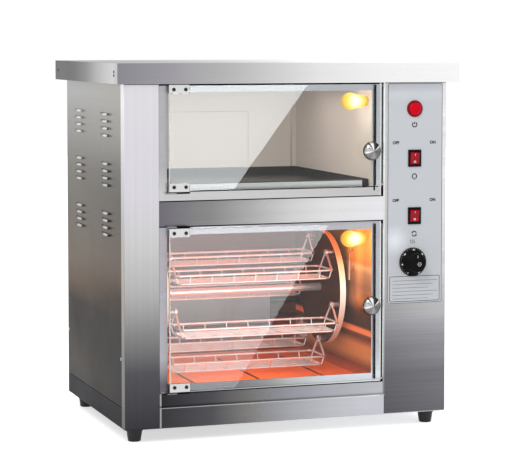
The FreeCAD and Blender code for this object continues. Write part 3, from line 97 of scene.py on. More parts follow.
class RoasterControls(bpy.types.PropertyGroup):
    """Sizes and colours of the control column"""
    label: colour_prop("Label", "Colour of the overlay film", (0.80, 0.815, 0.84))
    ink: colour_prop("Ink", "Colour of the printed marks", (0.07, 0.07, 0.08))
    red: colour_prop("Red", "Colour of the lens and rockers", (0.86, 0.03, 0.10))
    ticks: IntProperty(name="Ticks", description="Marks round the dial's skirt", default=31, min=2)
    print_height: length_prop("Print Height", "Thickness of the printed marks", 0.00012)


class RoasterChambers(bpy.types.PropertyGroup):
    """Colours and lights of the two chambers"""
    lamp_power: FloatProperty(name="Lamp Power", description="Watts of light from each lamp", default=0.14)
    fill_power: FloatProperty(name="Fill Power", description="Watts of soft light in each chamber", default=0.5)
    lamp_light: colour_prop("Lamp Light", "Colour of the lamps' light", (1.0, 0.98, 0.96))
    oven_light: colour_prop("Oven Light", "Colour of the glow in the oven", (1.0, 0.88, 0.72))


# Shader building blocks.


def wire(tree, node, inputs):
    for key, value in inputs.items():
        if isinstance(value, bpy.types.NodeSocket):
            tree.links.new(value, node.inputs[key])
        else:
            node.inputs[key].default_value = value
    return node


def add(tree, kind, inputs=None, **settings):
    """A node of a shader or geometry tree, with its settings and its inputs."""
    node = tree.nodes.new(kind)
    for key, value in settings.items():
        setattr(node, key, value)
    return wire(tree, node, inputs or {})


def math_node(tree, operation, *values):
    return add(tree, "ShaderNodeMath", dict(enumerate(values)), operation=operation).outputs[0]


def times(tree, colour, other):
    """A colour times another colour or a value."""
    return add(tree, "ShaderNodeVectorMath", {0: colour, 1: other}, operation="MULTIPLY").outputs[0]


def blend_colours(tree, share, first, second):
    node = add(tree, "ShaderNodeMix", {0: share, 6: first, 7: second}, data_type="RGBA")
    return node.outputs[2]


def split(tree, vector):
    return add(tree, "ShaderNodeSeparateXYZ", {0: vector}).outputs


def between(tree, value, low, high, start=0.0, end=1.0):
    return add(tree, "ShaderNodeMapRange", {"Value": value, "From Min": low, "From Max": high,
                                            "To Min": start, "To Max": end}).outputs[0]


def ramp(tree, value, stops):
    """A colour that follows a value through stops of (value, display grey or colour)."""
    first, last = stops[0][0], stops[-1][0]
    node = add(tree, "ShaderNodeValToRGB", {0: between(tree, value, first, last)})
    elements = node.color_ramp.elements
    elements[0].color = (*linear(stops[0][1]), 1)
    elements[1].color = (*linear(stops[-1][1]), 1)
    for at, tone in stops[1:-1]:
        elements.new((at - first) / (last - first)).color = (*linear(tone), 1)
    return node.outputs[0]


def blank(name):
    """A new material with its tree, its Principled shader and its Object coordinates."""
    material = bpy.data.materials.new(name)
    material.use_nodes = True
    tree = material.node_tree
    return material, tree, tree.nodes["Principled BSDF"], add(tree, "ShaderNodeTexCoord").outputs["Object"]


def new_group(name, inputs, outputs):
    """An empty shader group with named inputs and outputs."""
    tree = bpy.data.node_groups.new(name, "ShaderNodeTree")
    for label, kind, value in inputs:
        tree.interface.new_socket(label, in_out="INPUT", socket_type=kind).default_value = value
    for label in outputs:
        tree.interface.new_socket(label, in_out="OUTPUT", socket_type="NodeSocketFloat")
    return tree, add(tree, "NodeGroupInput").outputs, add(tree, "NodeGroupOutput")


def make_brushed_grain():
    """Fine brush lines with broader streaks among them."""
    tree, given, end = new_group("Brushed Grain", [
        ("Vector", "NodeSocketVector", (0, 0, 0)), ("Lines", "NodeSocketVector", (6, 6, 900)),
        ("Contrast", "NodeSocketFloat", 0.05)], ["Tone", "Height"])
    fine_place = times(tree, given["Vector"], given["Lines"])
    fine = add(tree, "ShaderNodeTexNoise", {"Vector": fine_place, "Scale": 1.0, "Detail": 2.0}).outputs[0]
    broad_place = times(tree, fine_place, (0.35, 0.35, 0.14))
    broad = add(tree, "ShaderNodeTexNoise", {"Vector": broad_place, "Scale": 1.0, "Detail": 3.0}).outputs[0]
    swing = math_node(tree, "ADD", math_node(tree, "SUBTRACT", fine, 0.5),
                      math_node(tree, "MULTIPLY", math_node(tree, "SUBTRACT", broad, 0.5), 1.6))
    tone = math_node(tree, "MULTIPLY_ADD", math_node(tree, "MULTIPLY", swing, given["Contrast"]), 2.0, 1.0)
    wire(tree, end, {"Tone": tone, "Height": fine})
    return tree


def make_handling_marks():
    """Soft cloudy marks that hands and cloths leave on sheet and plastic."""
    tree, given, end = new_group("Handling Marks", [
        ("Vector", "NodeSocketVector", (0, 0, 0)), ("Scale", "NodeSocketFloat", 9.0),
        ("Roughness", "NodeSocketFloat", 0.3), ("Amount", "NodeSocketFloat", 0.06)], ["Roughness"])
    cloud = add(tree, "ShaderNodeTexNoise", {"Vector": given["Vector"], "Scale": given["Scale"],
                                             "Detail": 5.0, "Roughness": 0.62}).outputs[0]
    swing = math_node(tree, "MULTIPLY", math_node(tree, "SUBTRACT", cloud, 0.5), given["Amount"])
    wire(tree, end, {"Roughness": math_node(tree, "MULTIPLY_ADD", swing, 3.0, given["Roughness"])})
    return tree


def make_moulded_grain():
    """The fine spark-eroded grain of moulded plastic, and its slight change of tone."""
    tree, given, end = new_group("Moulded Grain", [
        ("Vector", "NodeSocketVector", (0, 0, 0)), ("Scale", "NodeSocketFloat", 2600.0)],
        ["Tone", "Height"])
    pits = add(tree, "ShaderNodeTexVoronoi", {"Vector": given["Vector"], "Scale": given["Scale"]}).outputs[0]
    cloud = add(tree, "ShaderNodeTexNoise", {"Vector": given["Vector"], "Scale": 60.0, "Detail": 3.0}).outputs[0]
    wire(tree, end, {"Tone": between(tree, cloud, 0.3, 0.7, 0.92, 1.06), "Height": pits})
    return tree


def make_baked_film():
    """Blotches and runs of baked-on fat, from 0 on clean metal to 1 on the darkest."""
    tree, given, end = new_group("Baked Film", [
        ("Vector", "NodeSocketVector", (0, 0, 0)), ("Scale", "NodeSocketFloat", 16.0),
        ("Cover", "NodeSocketFloat", 0.5)], ["Mask"])
    runs = times(tree, given["Vector"], (1.0, 1.0, 0.35))
    blotches = add(tree, "ShaderNodeTexNoise", {"Vector": runs, "Scale": given["Scale"], "Detail": 6.0,
                                                "Roughness": 0.65}).outputs[0]
    low = math_node(tree, "SUBTRACT", 0.85, given["Cover"])
    mask = add(tree, "ShaderNodeMapRange", {"Value": blotches, "From Min": low,
                                            "From Max": math_node(tree, "ADD", low, 0.3)}).outputs[0]
    wire(tree, end, {"Mask": mask})
    return tree


GROUPS = {"grain": make_brushed_grain(), "marks": make_handling_marks(), "moulded": make_moulded_grain(),
          "film": make_baked_film()}


def effect(tree, group, **inputs):
    """One of the shared effects, placed in a material with its own values."""
    node = add(tree, "ShaderNodeGroup", node_tree=GROUPS[group])
    return wire(tree, node, inputs).outputs


def bump(tree, height, strength, distance):
    return add(tree, "ShaderNodeBump", {"Height": height, "Strength": strength,
                                        "Distance": distance}).outputs[0]


# Finishes.

FINISHES = {}


def finish(maker, *values):
    key = (maker.__name__, *(str(v) for v in values))
    if key not in FINISHES:
        FINISHES[key] = maker(*values)
    return FINISHES[key]


def brushed(name, tone, lines, roughness=0.3, contrast=None, metallic=1.0, grazing=1.0, glow=0.0, gloss=0.5):
    """Brushed steel whose painted sheen, light and shade painted into its colour, is worked out by tone(tree, x, y, z,
    normal); glow adds that colour again as a painted glow.
    """
    sheet = bpy.context.scene.roaster_sheet
    material, tree, shader, place = blank(name)
    x, y, z = split(tree, place)[:3]
    normal = add(tree, "ShaderNodeTexCoord").outputs["Normal"]
    grain = effect(tree, "grain", Vector=place, Lines=lines, Contrast=contrast or sheet.contrast)
    marks = effect(tree, "marks", Vector=place, Roughness=roughness)
    colour = times(tree, tone(tree, x, y, z, normal), grain["Tone"])
    wire(tree, shader, {
        "Base Color": colour, "Metallic": metallic, "Specular Tint": (grazing, grazing, grazing, 1),
        "Specular IOR Level": gloss,
        "Roughness": marks["Roughness"], "Normal": bump(tree, grain["Height"], 0.12, 0.0001)})
    if glow:
        wire(tree, shader, {"Emission Color": colour, "Emission Strength": glow})
    return material


def brush_lines():
    grain = bpy.context.scene.roaster_sheet.grain
    return (6.0, 6.0, grain)


# Painted sheens: display tones along x or z that paint light, shade and reflections into each sheet's colour; the
# strip keys colour bright strips that are painted highlights.
PAINTED_SHEENS = {
    "left_column": ("z", [(0.025, (0.23, 0.23, 0.25)), (0.12, (0.32, 0.32, 0.34)), (0.19, 0.52), (0.26, 0.69), (0.34, 0.79),
                          (0.42, (0.84, 0.83, 0.86)), (0.61, (0.88, 0.87, 0.89))]),
    "middle_rail": ("x", [(-0.234, (0.44, 0.43, 0.46)), (-0.14, 0.54), (-0.07, 0.67), (0.0, 0.80),
                          (0.07, 0.87), (0.178, (0.90, 0.90, 0.92))]),
    "crumb_tray": ("x", [(-0.234, (0.17, 0.17, 0.19)), (-0.14, (0.30, 0.30, 0.32)), (-0.07, 0.45),
                         (0.0, (0.56, 0.57, 0.60)), (0.07, (0.64, 0.65, 0.68)), (0.178, (0.71, 0.72, 0.74))]),
    "base_pan": ("x", [(-0.234, (0.22, 0.22, 0.24)), (-0.14, (0.32, 0.32, 0.34)), (-0.07, 0.49),
                       (0.0, (0.62, 0.63, 0.66)), (0.07, (0.71, 0.72, 0.75)), (0.14, (0.76, 0.77, 0.80))]),
    "rear_panel": ("z", [(0.06, 0.50), (0.30, 0.66), (0.62, 0.78)]),
    "pivot_steel": ("z", [(0.08, 0.44), (0.35, 0.55), (0.62, 0.70)]),
    "clip_steel": ("z", [(0.08, 0.83), (0.61, 0.87)]),
    "lip_steel": ("z", [(0.06, 0.50), (0.155, 0.66), (0.26, 0.86), (0.60, 0.92)]),
    "frame_lip": ("z", [(0.08, 0.82), (0.61, 0.88)]),
    "edge_line": ("x", [(-0.234, 0.62), (0.0, 0.76), (0.17, 0.92)]),
    "small_steel": ("z", [(0.02, 0.62), (0.30, 0.78), (0.62, 0.88)]),
    "return_steel": ("z", [(0.05, (0.30, 0.28, 0.26)), (0.155, 0.36), (0.262, (0.60, 0.56, 0.52)),
                           (0.368, 0.70), (0.475, 0.84), (0.58, 0.95)]),
    "bead_steel": ("z", [(0.44, (0.80, 0.74, 0.70)), (0.57, (0.90, 0.85, 0.80))]),
    "tray_rail": ("x", [(-0.22, 0.70), (0.0, 0.72), (0.15, 0.76)]),
}


def sheet_steel(key):
    """Brushed sheet with the painted sheen named by its key: light and shade painted along one axis."""
    axis, stops = PAINTED_SHEENS[key]

    def tone(tree, x, y, z, normal):
        return ramp(tree, {"x": x, "z": z}[axis], stops)
    lines = (700.0, 700.0, 5.0) if key == "left_column" else brush_lines()
    return brushed(key + "_steel", tone, lines, grazing=0.5 if key == "base_pan" else 1.0)


def control_steel():
    """The control column, with painted shade low down and a painted sheen a little brighter to the right, with plain
    brush lines.
    """
    def tone(tree, x, y, z, normal):
        upright = ramp(tree, z, [(0.025, (0.41, 0.41, 0.43)), (0.09, (0.45, 0.45, 0.47)),
                                 (0.14, (0.53, 0.53, 0.55)), (0.19, (0.66, 0.66, 0.68)), (0.23, 0.75),
                                 (0.32, 0.85), (0.45, 0.90), (0.62, 0.92)])
        return times(tree, upright, ramp(tree, x, [(0.178, 0.87), (0.23, 0.94), (0.28, 1.0)]))
    return brushed("control_steel", tone, (6.0, 6.0, 320.0), 0.3, 0.13)


def frame_steel(key):
    """A door frame with painted sheen: an even top and left side, and a bottom painted brighter to the right."""
    bottom_stops, side = {
        "upper_opening_frame": ([(-0.234, 0.79), (0.0, 0.78), (0.172, 0.76)], (0.70, 0.70, 0.72)),
        "lower_opening_frame": ([(-0.234, (0.40, 0.39, 0.42)), (-0.10, (0.41, 0.41, 0.43)), (-0.04, 0.52),
                                 (0.0, 0.64), (0.07, (0.74, 0.75, 0.78)), (0.172, (0.78, 0.79, 0.82))],
                                (0.68, 0.67, 0.70)),
    }[key]
    low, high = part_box(key)

    def tone(tree, x, y, z, normal):
        bottom = ramp(tree, x, bottom_stops)
        return blend_colours(tree, between(tree, z, low.z + 16 * MM, low.z + 60 * MM), bottom,
                             (*linear(side), 1))
    return brushed(key + "_steel", tone, brush_lines())


def cover_steel():
    """The cover's front has a painted sheen that grows brighter to the right, and its ends painted shade that grows
    darker to the rear.
    """
    def tone(tree, x, y, z, normal):
        front = ramp(tree, x, [(-0.312, (0.55, 0.54, 0.57)), (-0.22, (0.62, 0.61, 0.64)), (-0.114, 0.72),
                               (-0.006, 0.84), (0.05, 0.90), (0.16, 0.95), (0.312, 0.98)])
        end = ramp(tree, y, [(-0.22, 0.82), (-0.19, 0.89), (-0.14, 0.84), (-0.07, 0.73), (0.0, 0.54),
                             (0.078, 0.40), (0.16, 0.36), (0.22, 0.36)])
        return blend_colours(tree, math_node(tree, "ABSOLUTE", split(tree, normal)[0]), front, end)
    return brushed("cover_steel", tone, brush_lines(), 0.28, 0.025, grazing=0.75)


def cover_top_steel():
    """The broad satin top of the cover, with painted shade and sheen that change along its length."""
    def tone(tree, x, y, z, normal):
        return ramp(tree, x, [(-0.31, 0.30), (-0.27, 0.44), (-0.1, 0.46), (0.0, 0.45), (0.06, 0.38),
                              (0.14, 0.34), (0.2, 0.31), (0.311, 0.27)])
    return brushed("cover_top_steel", tone, (6.0, 900.0, 6.0), 0.5, 0.05, 0.15, grazing=0.3, gloss=0.0)


def side_steel():
    """A side panel with painted light above and painted shade in dark brown-grey below, and painted glints on its
    louvre hoods.
    """
    face = abs(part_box("left_column")[0].x)

    def tone(tree, x, y, z, normal):
        fore = ramp(tree, z, [(0.05, (0.17, 0.14, 0.12)), (0.07, (0.10, 0.09, 0.08)), (0.137, (0.12, 0.11, 0.10)),
                              (0.207, (0.15, 0.12, 0.11)), (0.241, (0.22, 0.17, 0.12)),
                              (0.276, (0.40, 0.34, 0.28)), (0.31, (0.46, 0.41, 0.37)),
                              (0.413, (0.47, 0.45, 0.43)), (0.456, (0.52, 0.51, 0.50)),
                              (0.50, (0.65, 0.64, 0.62)), (0.533, (0.72, 0.71, 0.69)),
                              (0.605, (0.80, 0.79, 0.76))])
        rear = ramp(tree, z, [(0.034, (0.33, 0.30, 0.28)), (0.056, (0.26, 0.24, 0.22)), (0.094, (0.30, 0.27, 0.24)),
                              (0.169, (0.13, 0.10, 0.08)), (0.206, (0.18, 0.12, 0.08)),
                              (0.243, (0.44, 0.35, 0.27)), (0.281, (0.50, 0.45, 0.40)),
                              (0.392, (0.53, 0.51, 0.48)), (0.45, (0.58, 0.56, 0.54)),
                              (0.50, (0.67, 0.66, 0.64)), (0.545, (0.74, 0.73, 0.72)), (0.59, 0.80)])
        panel = blend_colours(tree, between(tree, y, -0.16, 0.14), fore, rear)
        # Painted light and shade on the louvre hoods: a painted glint (shine) on part of each hood and painted shade
        # (dull) on the rest.
        hood = between(tree, math_node(tree, "ABSOLUTE", x), face + 0.5 * MM, face + 2.5 * MM)
        glint = ramp(tree, y, [(-0.10, 0.0), (-0.097, 1.0), (-0.075, 1.0), (-0.068, 0.0), (0.088, 0.0),
                               (0.09, 1.0), (0.115, 1.0), (0.122, 0.0)])
        shine = ramp(tree, z, [(0.34, 0.86), (0.46, 0.92), (0.53, 1.0)])
        behind = ramp(tree, y, [(-0.08, 0.0), (-0.072, 1.0), (0.086, 1.0), (0.09, 0.0), (0.116, 0.0),
                                (0.122, 1.0)])
        dull = blend_colours(tree, behind, ramp(tree, z, [(0.34, 0.26), (0.46, 0.32), (0.60, 0.40)]),
                             ramp(tree, z, [(0.34, 0.46), (0.46, 0.54), (0.60, 0.72)]))
        return blend_colours(tree, hood, panel, blend_colours(tree, glint, dull, shine))
    return brushed("side_steel", tone, brush_lines(), 0.33, 0.03, grazing=0.62)


def edge_highlight_steel():
    """Painted highlight: bright metal on the folds and cut edges, standing in for the light that they catch."""
    material, tree, shader, place = blank("edge_highlight_steel")
    marks = effect(tree, "marks", Vector=place, Roughness=0.22, Scale=40.0)
    wire(tree, shader, {"Base Color": (*bpy.context.scene.roaster_sheet.fold_highlight_tone, 1), "Metallic": 1.0,
                        "Roughness": marks["Roughness"]})
    return material


def warm_liner_steel():
    """Satin walls of the warming chamber, a warm grey, with a painted glow of their own colour standing in for the
    lamp's light.
    """
    def tone(tree, x, y, z, normal):
        back = ramp(tree, x, [(-0.22, (0.76, 0.72, 0.69)), (0.155, (0.75, 0.71, 0.68))])
        side = ramp(tree, y, [(-0.20, (0.74, 0.69, 0.65)), (0.0, (0.76, 0.71, 0.68)),
                              (0.19, (0.72, 0.68, 0.65))])
        return blend_colours(tree, math_node(tree, "ABSOLUTE", split(tree, normal)[0]), back, side)
    return brushed("warm_liner_steel", tone, (5.0, 5.0, 350.0), 0.42, 0.02, 0.1, glow=0.2, gloss=0.2)


def oven_liner_steel():
    """Oven walls tinted by heat: a red-orange floor, bronze sides with painted highlight bands and painted reflection
    streaks, and a rear darkened as painted shade; a painted glow lifts them all.
    """
    def tone(tree, x, y, z, normal):
        across, _, upward = split(tree, normal)[:3]
        floor = ramp(tree, x, [(-0.22, (0.95, 0.52, 0.28)), (-0.10, (0.94, 0.43, 0.16)),
                               (0.0, (0.94, 0.40, 0.12)), (0.06, (0.86, 0.34, 0.10)),
                               (0.155, (0.80, 0.33, 0.10))])
        rear = ramp(tree, z, [(0.08, (0.42, 0.20, 0.10)), (0.20, (0.26, 0.15, 0.11)),
                              (0.33, (0.40, 0.20, 0.10))])
        # Painted highlights and shade up the side walls, brightest near the lamp at the top; above the lower band the
        # streaks paint reflections across the walls' depth.
        bands = ramp(tree, z, [(0.088, (0.66, 0.28, 0.12)), (0.104, (0.44, 0.19, 0.07)),
                               (0.121, (0.72, 0.46, 0.24)), (0.139, (0.74, 0.44, 0.24)),
                               (0.153, (0.36, 0.15, 0.04)), (0.160, (0.38, 0.16, 0.04)),
                               (0.163, (0.90, 0.50, 0.30)), (0.170, (0.88, 0.46, 0.26)),
                               (0.174, (0.20, 0.08, 0.02)), (0.200, (0.30, 0.15, 0.06)),
                               (0.222, (0.76, 0.48, 0.32)), (0.247, (0.66, 0.42, 0.26)),
                               (0.271, (0.80, 0.55, 0.36)), (0.281, (0.95, 0.70, 0.46)),
                               (0.289, (0.90, 0.54, 0.24)), (0.325, (1.0, 0.70, 0.30))])
        streaks = ramp(tree, y, [(-0.20, 0.94), (-0.186, 0.84), (-0.165, 0.80), (-0.137, 1.0), (-0.115, 0.84),
                                 (-0.098, 0.90), (-0.075, 0.50), (-0.04, 0.42), (0.19, 0.36)])
        low_down = between(tree, z, 0.176, 0.19)
        even = blend_colours(tree, low_down, (0.9, 0.9, 0.9, 1), streaks)
        walls = blend_colours(tree, math_node(tree, "ABSOLUTE", across), rear, times(tree, bands, even))
        film = effect(tree, "film", Vector=add(tree, "ShaderNodeTexCoord").outputs["Object"], Cover=0.22)
        share = math_node(tree, "MULTIPLY", film["Mask"], 0.6)
        return blend_colours(tree, share, blend_colours(
            tree, math_node(tree, "ABSOLUTE", upward), walls, floor), (0.16, 0.045, 0.015, 1))
    return brushed("oven_liner_steel", tone, (8.0, 8.0, 260.0), 0.4, 0.015, glow=0.25, gloss=0.06, metallic=0.0)


def carousel_steel():
    """End discs of the carousel: dark faces tinted by heat, and a rim painted with the lamp's orange light at the top,
    a pale painted highlight below it and painted shade at the bottom; a painted glow lifts both.
    """
    def tone(tree, x, y, z, normal):
        rim = ramp(tree, z, [(0.12, (0.60, 0.36, 0.26)), (0.18, (0.84, 0.68, 0.60)),
                             (0.24, (0.98, 0.92, 0.87)), (0.275, (0.96, 0.78, 0.60)),
                             (0.30, (0.88, 0.52, 0.32)), (0.34, (0.80, 0.38, 0.18))])
        face = (*linear((0.20, 0.09, 0.05)), 1)
        return blend_colours(tree, math_node(tree, "ABSOLUTE", split(tree, normal)[0]), rim, face)
    return brushed("carousel_steel", tone, (300.0, 20.0, 20.0), 0.34, 0.03, 0.2, glow=0.5, gloss=0.0)


def plain_metal(name, tone, roughness, scale=60.0, glow=0.0):
    """Small metal parts: a tone with cloudy marks and fine pits, and, where glow is given, a painted glow of that
    tone.
    """
    material, tree, shader, place = blank(name)
    grain = effect(tree, "moulded", Vector=place, Scale=1500.0)
    marks = effect(tree, "marks", Vector=place, Roughness=roughness, Scale=scale)
    colour = times(tree, grain["Tone"], linear(tone))
    wire(tree, shader, {"Base Color": colour, "Metallic": 1.0, "Roughness": marks["Roughness"],
                        "Normal": bump(tree, grain["Height"], 0.08, 0.0001),
                        "Emission Color": colour, "Emission Strength": glow})
    return material


def moulded(name, tone, roughness, pits=0.1, coat=0.0, gloss=0.5):
    """Moulded plastic, rubber, paint or ceramic."""
    material, tree, shader, place = blank(name)
    grain = effect(tree, "moulded", Vector=place)
    marks = effect(tree, "marks", Vector=place, Roughness=roughness, Scale=30.0)
    wire(tree, shader, {"Base Color": times(tree, grain["Tone"], linear(tone)), "Coat Weight": coat,
                        "Specular IOR Level": gloss, "Roughness": marks["Roughness"],
                        "Normal": bump(tree, grain["Height"], pits, 0.0001)})
    return material


def guard_paint():
    """Pale heat-proof paint, darker towards the bottom, with blotches of brown baked film."""
    low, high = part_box("heater_guard")
    material, tree, shader, place = blank("guard_paint")
    z = split(tree, place)[2]
    film = effect(tree, "film", Vector=place, Cover=0.34, Scale=26.0)
    paint = ramp(tree, z, [(low.z, (0.46, 0.52, 0.55)), (high.z, (0.60, 0.67, 0.72))])
    wire(tree, shader, {"Base Color": blend_colours(tree, film["Mask"], paint, (0.24, 0.13, 0.07, 1)),
                        "Roughness": 0.38})
    return material


def wool_board():
    """Matted glass wool."""
    material, tree, shader, place = blank("wool_board")
    fibres = add(tree, "ShaderNodeTexNoise", {"Vector": times(tree, place, (40.0, 40.0, 220.0)),
                                              "Scale": 4.0, "Detail": 8.0}).outputs[0]
    tone = ramp(tree, fibres, [(0.3, (0.74, 0.70, 0.56)), (0.7, (0.93, 0.91, 0.84))])
    wire(tree, shader, {"Base Color": tone, "Roughness": 0.95, "Normal": bump(tree, fibres, 0.8, 0.002)})
    return material


def clear_glass():
    """Tempered glass that lets light through to the chambers."""
    material, tree, shader, place = blank("clear_glass")
    wire(tree, shader, {"Base Color": (*linear((0.985, 0.995, 0.992)), 1), "Roughness": 0.0, "IOR": 1.3,
                        "Transmission Weight": 1.0})
    clear = add(tree, "ShaderNodeBsdfTransparent", {0: (*linear((0.97, 0.99, 0.98)), 1)})
    shadow = add(tree, "ShaderNodeLightPath").outputs["Is Shadow Ray"]
    mix = add(tree, "ShaderNodeMixShader", {0: shadow, 1: shader.outputs[0], 2: clear.outputs[0]})
    wire(tree, tree.nodes["Material Output"], {"Surface": mix.outputs[0]})
    return material


def ground_glass():
    """The ground edge of the doors."""
    material, tree, shader, place = blank("ground_glass")
    marks = effect(tree, "marks", Vector=place, Roughness=0.25, Scale=120.0)
    wire(tree, shader, {"Base Color": (*bpy.context.scene.roaster_doors.glass_edge, 1), "IOR": 1.5,
                        "Roughness": marks["Roughness"], "Transmission Weight": 0.35})
    return material


def turned_chrome(name, centre, radius):
    """A turned and chromed dome: painted reflections in fans of light meet at its middle, and painted shade darkens
    its rim.
    """
    material, tree, shader, place = blank(name)
    local = add(tree, "ShaderNodeMapping", {"Vector": place, "Location": tuple(-centre)}).outputs[0]
    x, y, z = split(tree, local)[:3]
    angle = math_node(tree, "ARCTAN2", z, x)
    fans = ramp(tree, angle, [(-3.14, 0.76), (-2.98, 1.0), (-2.90, 0.98), (-2.78, 0.58), (-2.2, 0.48),
                              (-1.57, 0.62), (-0.9, 0.46), (-0.2, 0.40), (0.30, 0.52), (0.54, 0.56),
                              (0.60, 1.0), (0.70, 0.96), (0.78, 0.12), (1.2, 0.24), (1.5, 0.36),
                              (1.6, 0.97), (1.95, 1.0), (2.05, 0.26), (2.15, 0.34), (2.25, 0.86),
                              (2.5, 0.76), (2.6, 0.42), (2.7, 0.80), (3.14, 0.76)])
    reach = add(tree, "ShaderNodeVectorMath", {0: add(tree, "ShaderNodeCombineXYZ", {0: x, 2: z}).outputs[0]},
                operation="LENGTH").outputs["Value"]
    rim = ramp(tree, reach, [(0.0, 1.0), (0.72 * radius, 1.0), (0.9 * radius, 0.84), (radius, 0.50)])
    wire(tree, shader, {"Base Color": times(tree, fans, rim), "Metallic": 1.0, "Roughness": 0.16})
    return material


def red_plastic(name, tone, glow, gloss):
    """Lit red plastic."""
    material, tree, shader, place = blank(name)
    grain = effect(tree, "moulded", Vector=place, Scale=900.0)
    marks = effect(tree, "marks", Vector=place, Roughness=0.22, Scale=60.0)
    wire(tree, shader, {"Base Color": times(tree, grain["Tone"], linear(tone)), "Specular IOR Level": gloss,
                        "Roughness": marks["Roughness"], "Emission Color": (*linear(tone), 1),
                        "Emission Strength": glow})
    return material


def label_film():
    """Pale overlay film with painted light: lighter towards the top and in a soft painted highlight patch, with faint
    scratches.
    """
    low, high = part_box("control_label")
    material, tree, shader, place = blank("label_film")
    z = split(tree, place)[2]
    base = tuple(bpy.context.scene.roaster_controls.label)
    # Painted light: the film brighter upwards, and brighter still in its top 34 mm.
    shade = math_node(tree, "MULTIPLY", between(tree, z, low.z, high.z, 0.97, 1.02),
                      between(tree, z, high.z - 34 * MM, high.z, 1.0, 1.34))
    grain = effect(tree, "grain", Vector=place, Lines=(40.0, 40.0, 500.0), Contrast=0.008)
    # A soft painted highlight round a point near the film's left edge.
    painted_highlight_reach = add(tree, "ShaderNodeVectorMath", {0: place, 1: (low.x + 14 * MM, low.y, low.z + 112 * MM)},
               operation="DISTANCE").outputs["Value"]
    shade = math_node(tree, "MULTIPLY", shade, between(tree, painted_highlight_reach, 4 * MM, 30 * MM, 1.4, 1.0))
    colour = times(tree, times(tree, shade, grain["Tone"]), base)
    marks = effect(tree, "marks", Vector=place, Roughness=0.42)
    wire(tree, shader, {"Base Color": colour, "Roughness": marks["Roughness"]})
    return material


def print_ink(tone):
    material, tree, shader, place = blank("print_ink")
    grain = effect(tree, "moulded", Vector=place, Scale=4000.0)
    wire(tree, shader, {"Base Color": times(tree, grain["Tone"], tone), "Roughness": 0.5})
    return material


def lamp_glow(name, core, reach, edge):
    """A lit globe: white where its filament is, yellow round it and amber at its edge."""
    material, tree, shader, place = blank(name)
    away = add(tree, "ShaderNodeVectorMath", {0: place, 1: tuple(core)}, operation="DISTANCE").outputs["Value"]
    glow = ramp(tree, away, [(0.0, (1.0, 1.0, 0.97)), (0.36 * reach, (1.0, 0.98, 0.80)),
                             (0.55 * reach, (1.0, 0.90, 0.42)), (0.80 * reach, edge), (reach, (0.80, 0.60, 0.22))])
    wire(tree, shader, {"Base Color": (0.02, 0.015, 0.01, 1), "Roughness": 0.08, "Emission Color": glow,
                        "Emission Strength": 1.15})
    return material


# Mesh building blocks.


def finished_mesh(name, bm, sharp=35.0):
    mesh = bpy.data.meshes.new(name)
    bm.normal_update()
    bm.to_mesh(mesh)
    smooth = [face.smooth for face in bm.faces]
    bm.free()
    if "custom_normal" in mesh.attributes:
        mesh.attributes.remove(mesh.attributes["custom_normal"])
    mesh.set_sharp_from_angle(angle=math.radians(sharp))
    mesh.polygons.foreach_set("use_smooth", smooth)
    return mesh


def settle(name, mesh, body, materials, stands_for=()):
    """Puts a finished mesh on its body, in place of the frame's nodes that it stands for."""
    piece = bpy.data.objects.new(name, mesh)
    bpy.context.scene.collection.objects.link(piece)
    mesh.materials.clear()
    for material in materials:
        mesh.materials.append(material)
    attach(piece, body)
    if stands_for:
        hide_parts(*stands_for)
    return piece


def from_node(node):
    """A merged copy of a frame node's mesh, with its flat faces joined."""
    bm = bmesh.new()
    bm.from_mesh(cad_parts[node].data)
    bmesh.ops.remove_doubles(bm, verts=bm.verts, dist=2e-6)
    bmesh.ops.dissolve_limit(bm, angle_limit=math.radians(0.5), verts=bm.verts, edges=bm.edges)
    for face in bm.faces:
        face.smooth = True
    return bm


def soften(bm, width, angle=30.0, segments=2, material=-1):
    """Rounds the edges that turn by more than an angle, and keeps the broad faces truly flat."""
    edges = [e for e in bm.edges if len(e.link_faces) == 2 and e.calc_face_angle(0) > math.radians(angle)]
    rounds = bmesh.ops.bevel(bm, geom=edges, offset=width, segments=segments, profile=0.5, affect="EDGES",
                             clamp_overlap=True, material=material)["faces"]
    for face in bm.faces:
        face.smooth = face.calc_area() < FLAT_AREA
    for face in rounds:
        face.smooth = True


def lathe(bm, profile, centre, axis=FRONT_AXIS, steps=72):
    """Turns corners of (radius, length along the axis) into a closed skin."""
    turn = Vector((0, 0, 1)).rotation_difference(axis)
    rings = []
    for radius, along in profile:
        count = steps if radius > 1e-7 else 1
        rings.append([bm.verts.new(centre + turn @ Vector((
            radius * math.cos(math.tau * i / steps), radius * math.sin(math.tau * i / steps), along)))
            for i in range(count)])
    faces = []
    for first, second in zip(rings, rings[1:]):
        for i in range(steps):
            corners = [first[i % len(first)], first[(i + 1) % len(first)],
                       second[(i + 1) % len(second)], second[i % len(second)]]
            corners = list(dict.fromkeys(corners))
            if len(corners) > 2:
                faces.append(bm.faces.new(corners))
    for face in faces:
        face.smooth = True
    bmesh.ops.recalc_face_normals(bm, faces=faces)
    return faces


def arc(centre, radius, start, end, count):
    """Profile corners round part of a circle, with angles in degrees from the radius direction."""
    return [(centre[0] + radius * math.cos(math.radians(start + (end - start) * i / count)),
             centre[1] + radius * math.sin(math.radians(start + (end - start) * i / count)))
            for i in range(count + 1)]


def block(bm, low, high):
    """A closed block between two corners."""
    made = bmesh.ops.create_cube(bm, size=1.0)["verts"]
    middle = (Vector(low) + Vector(high)) / 2
    span = Vector(high) - Vector(low)
    for vert in made:
        vert.co = Vector((vert.co.x * span.x, vert.co.y * span.y, vert.co.z * span.z)) + middle
    return made


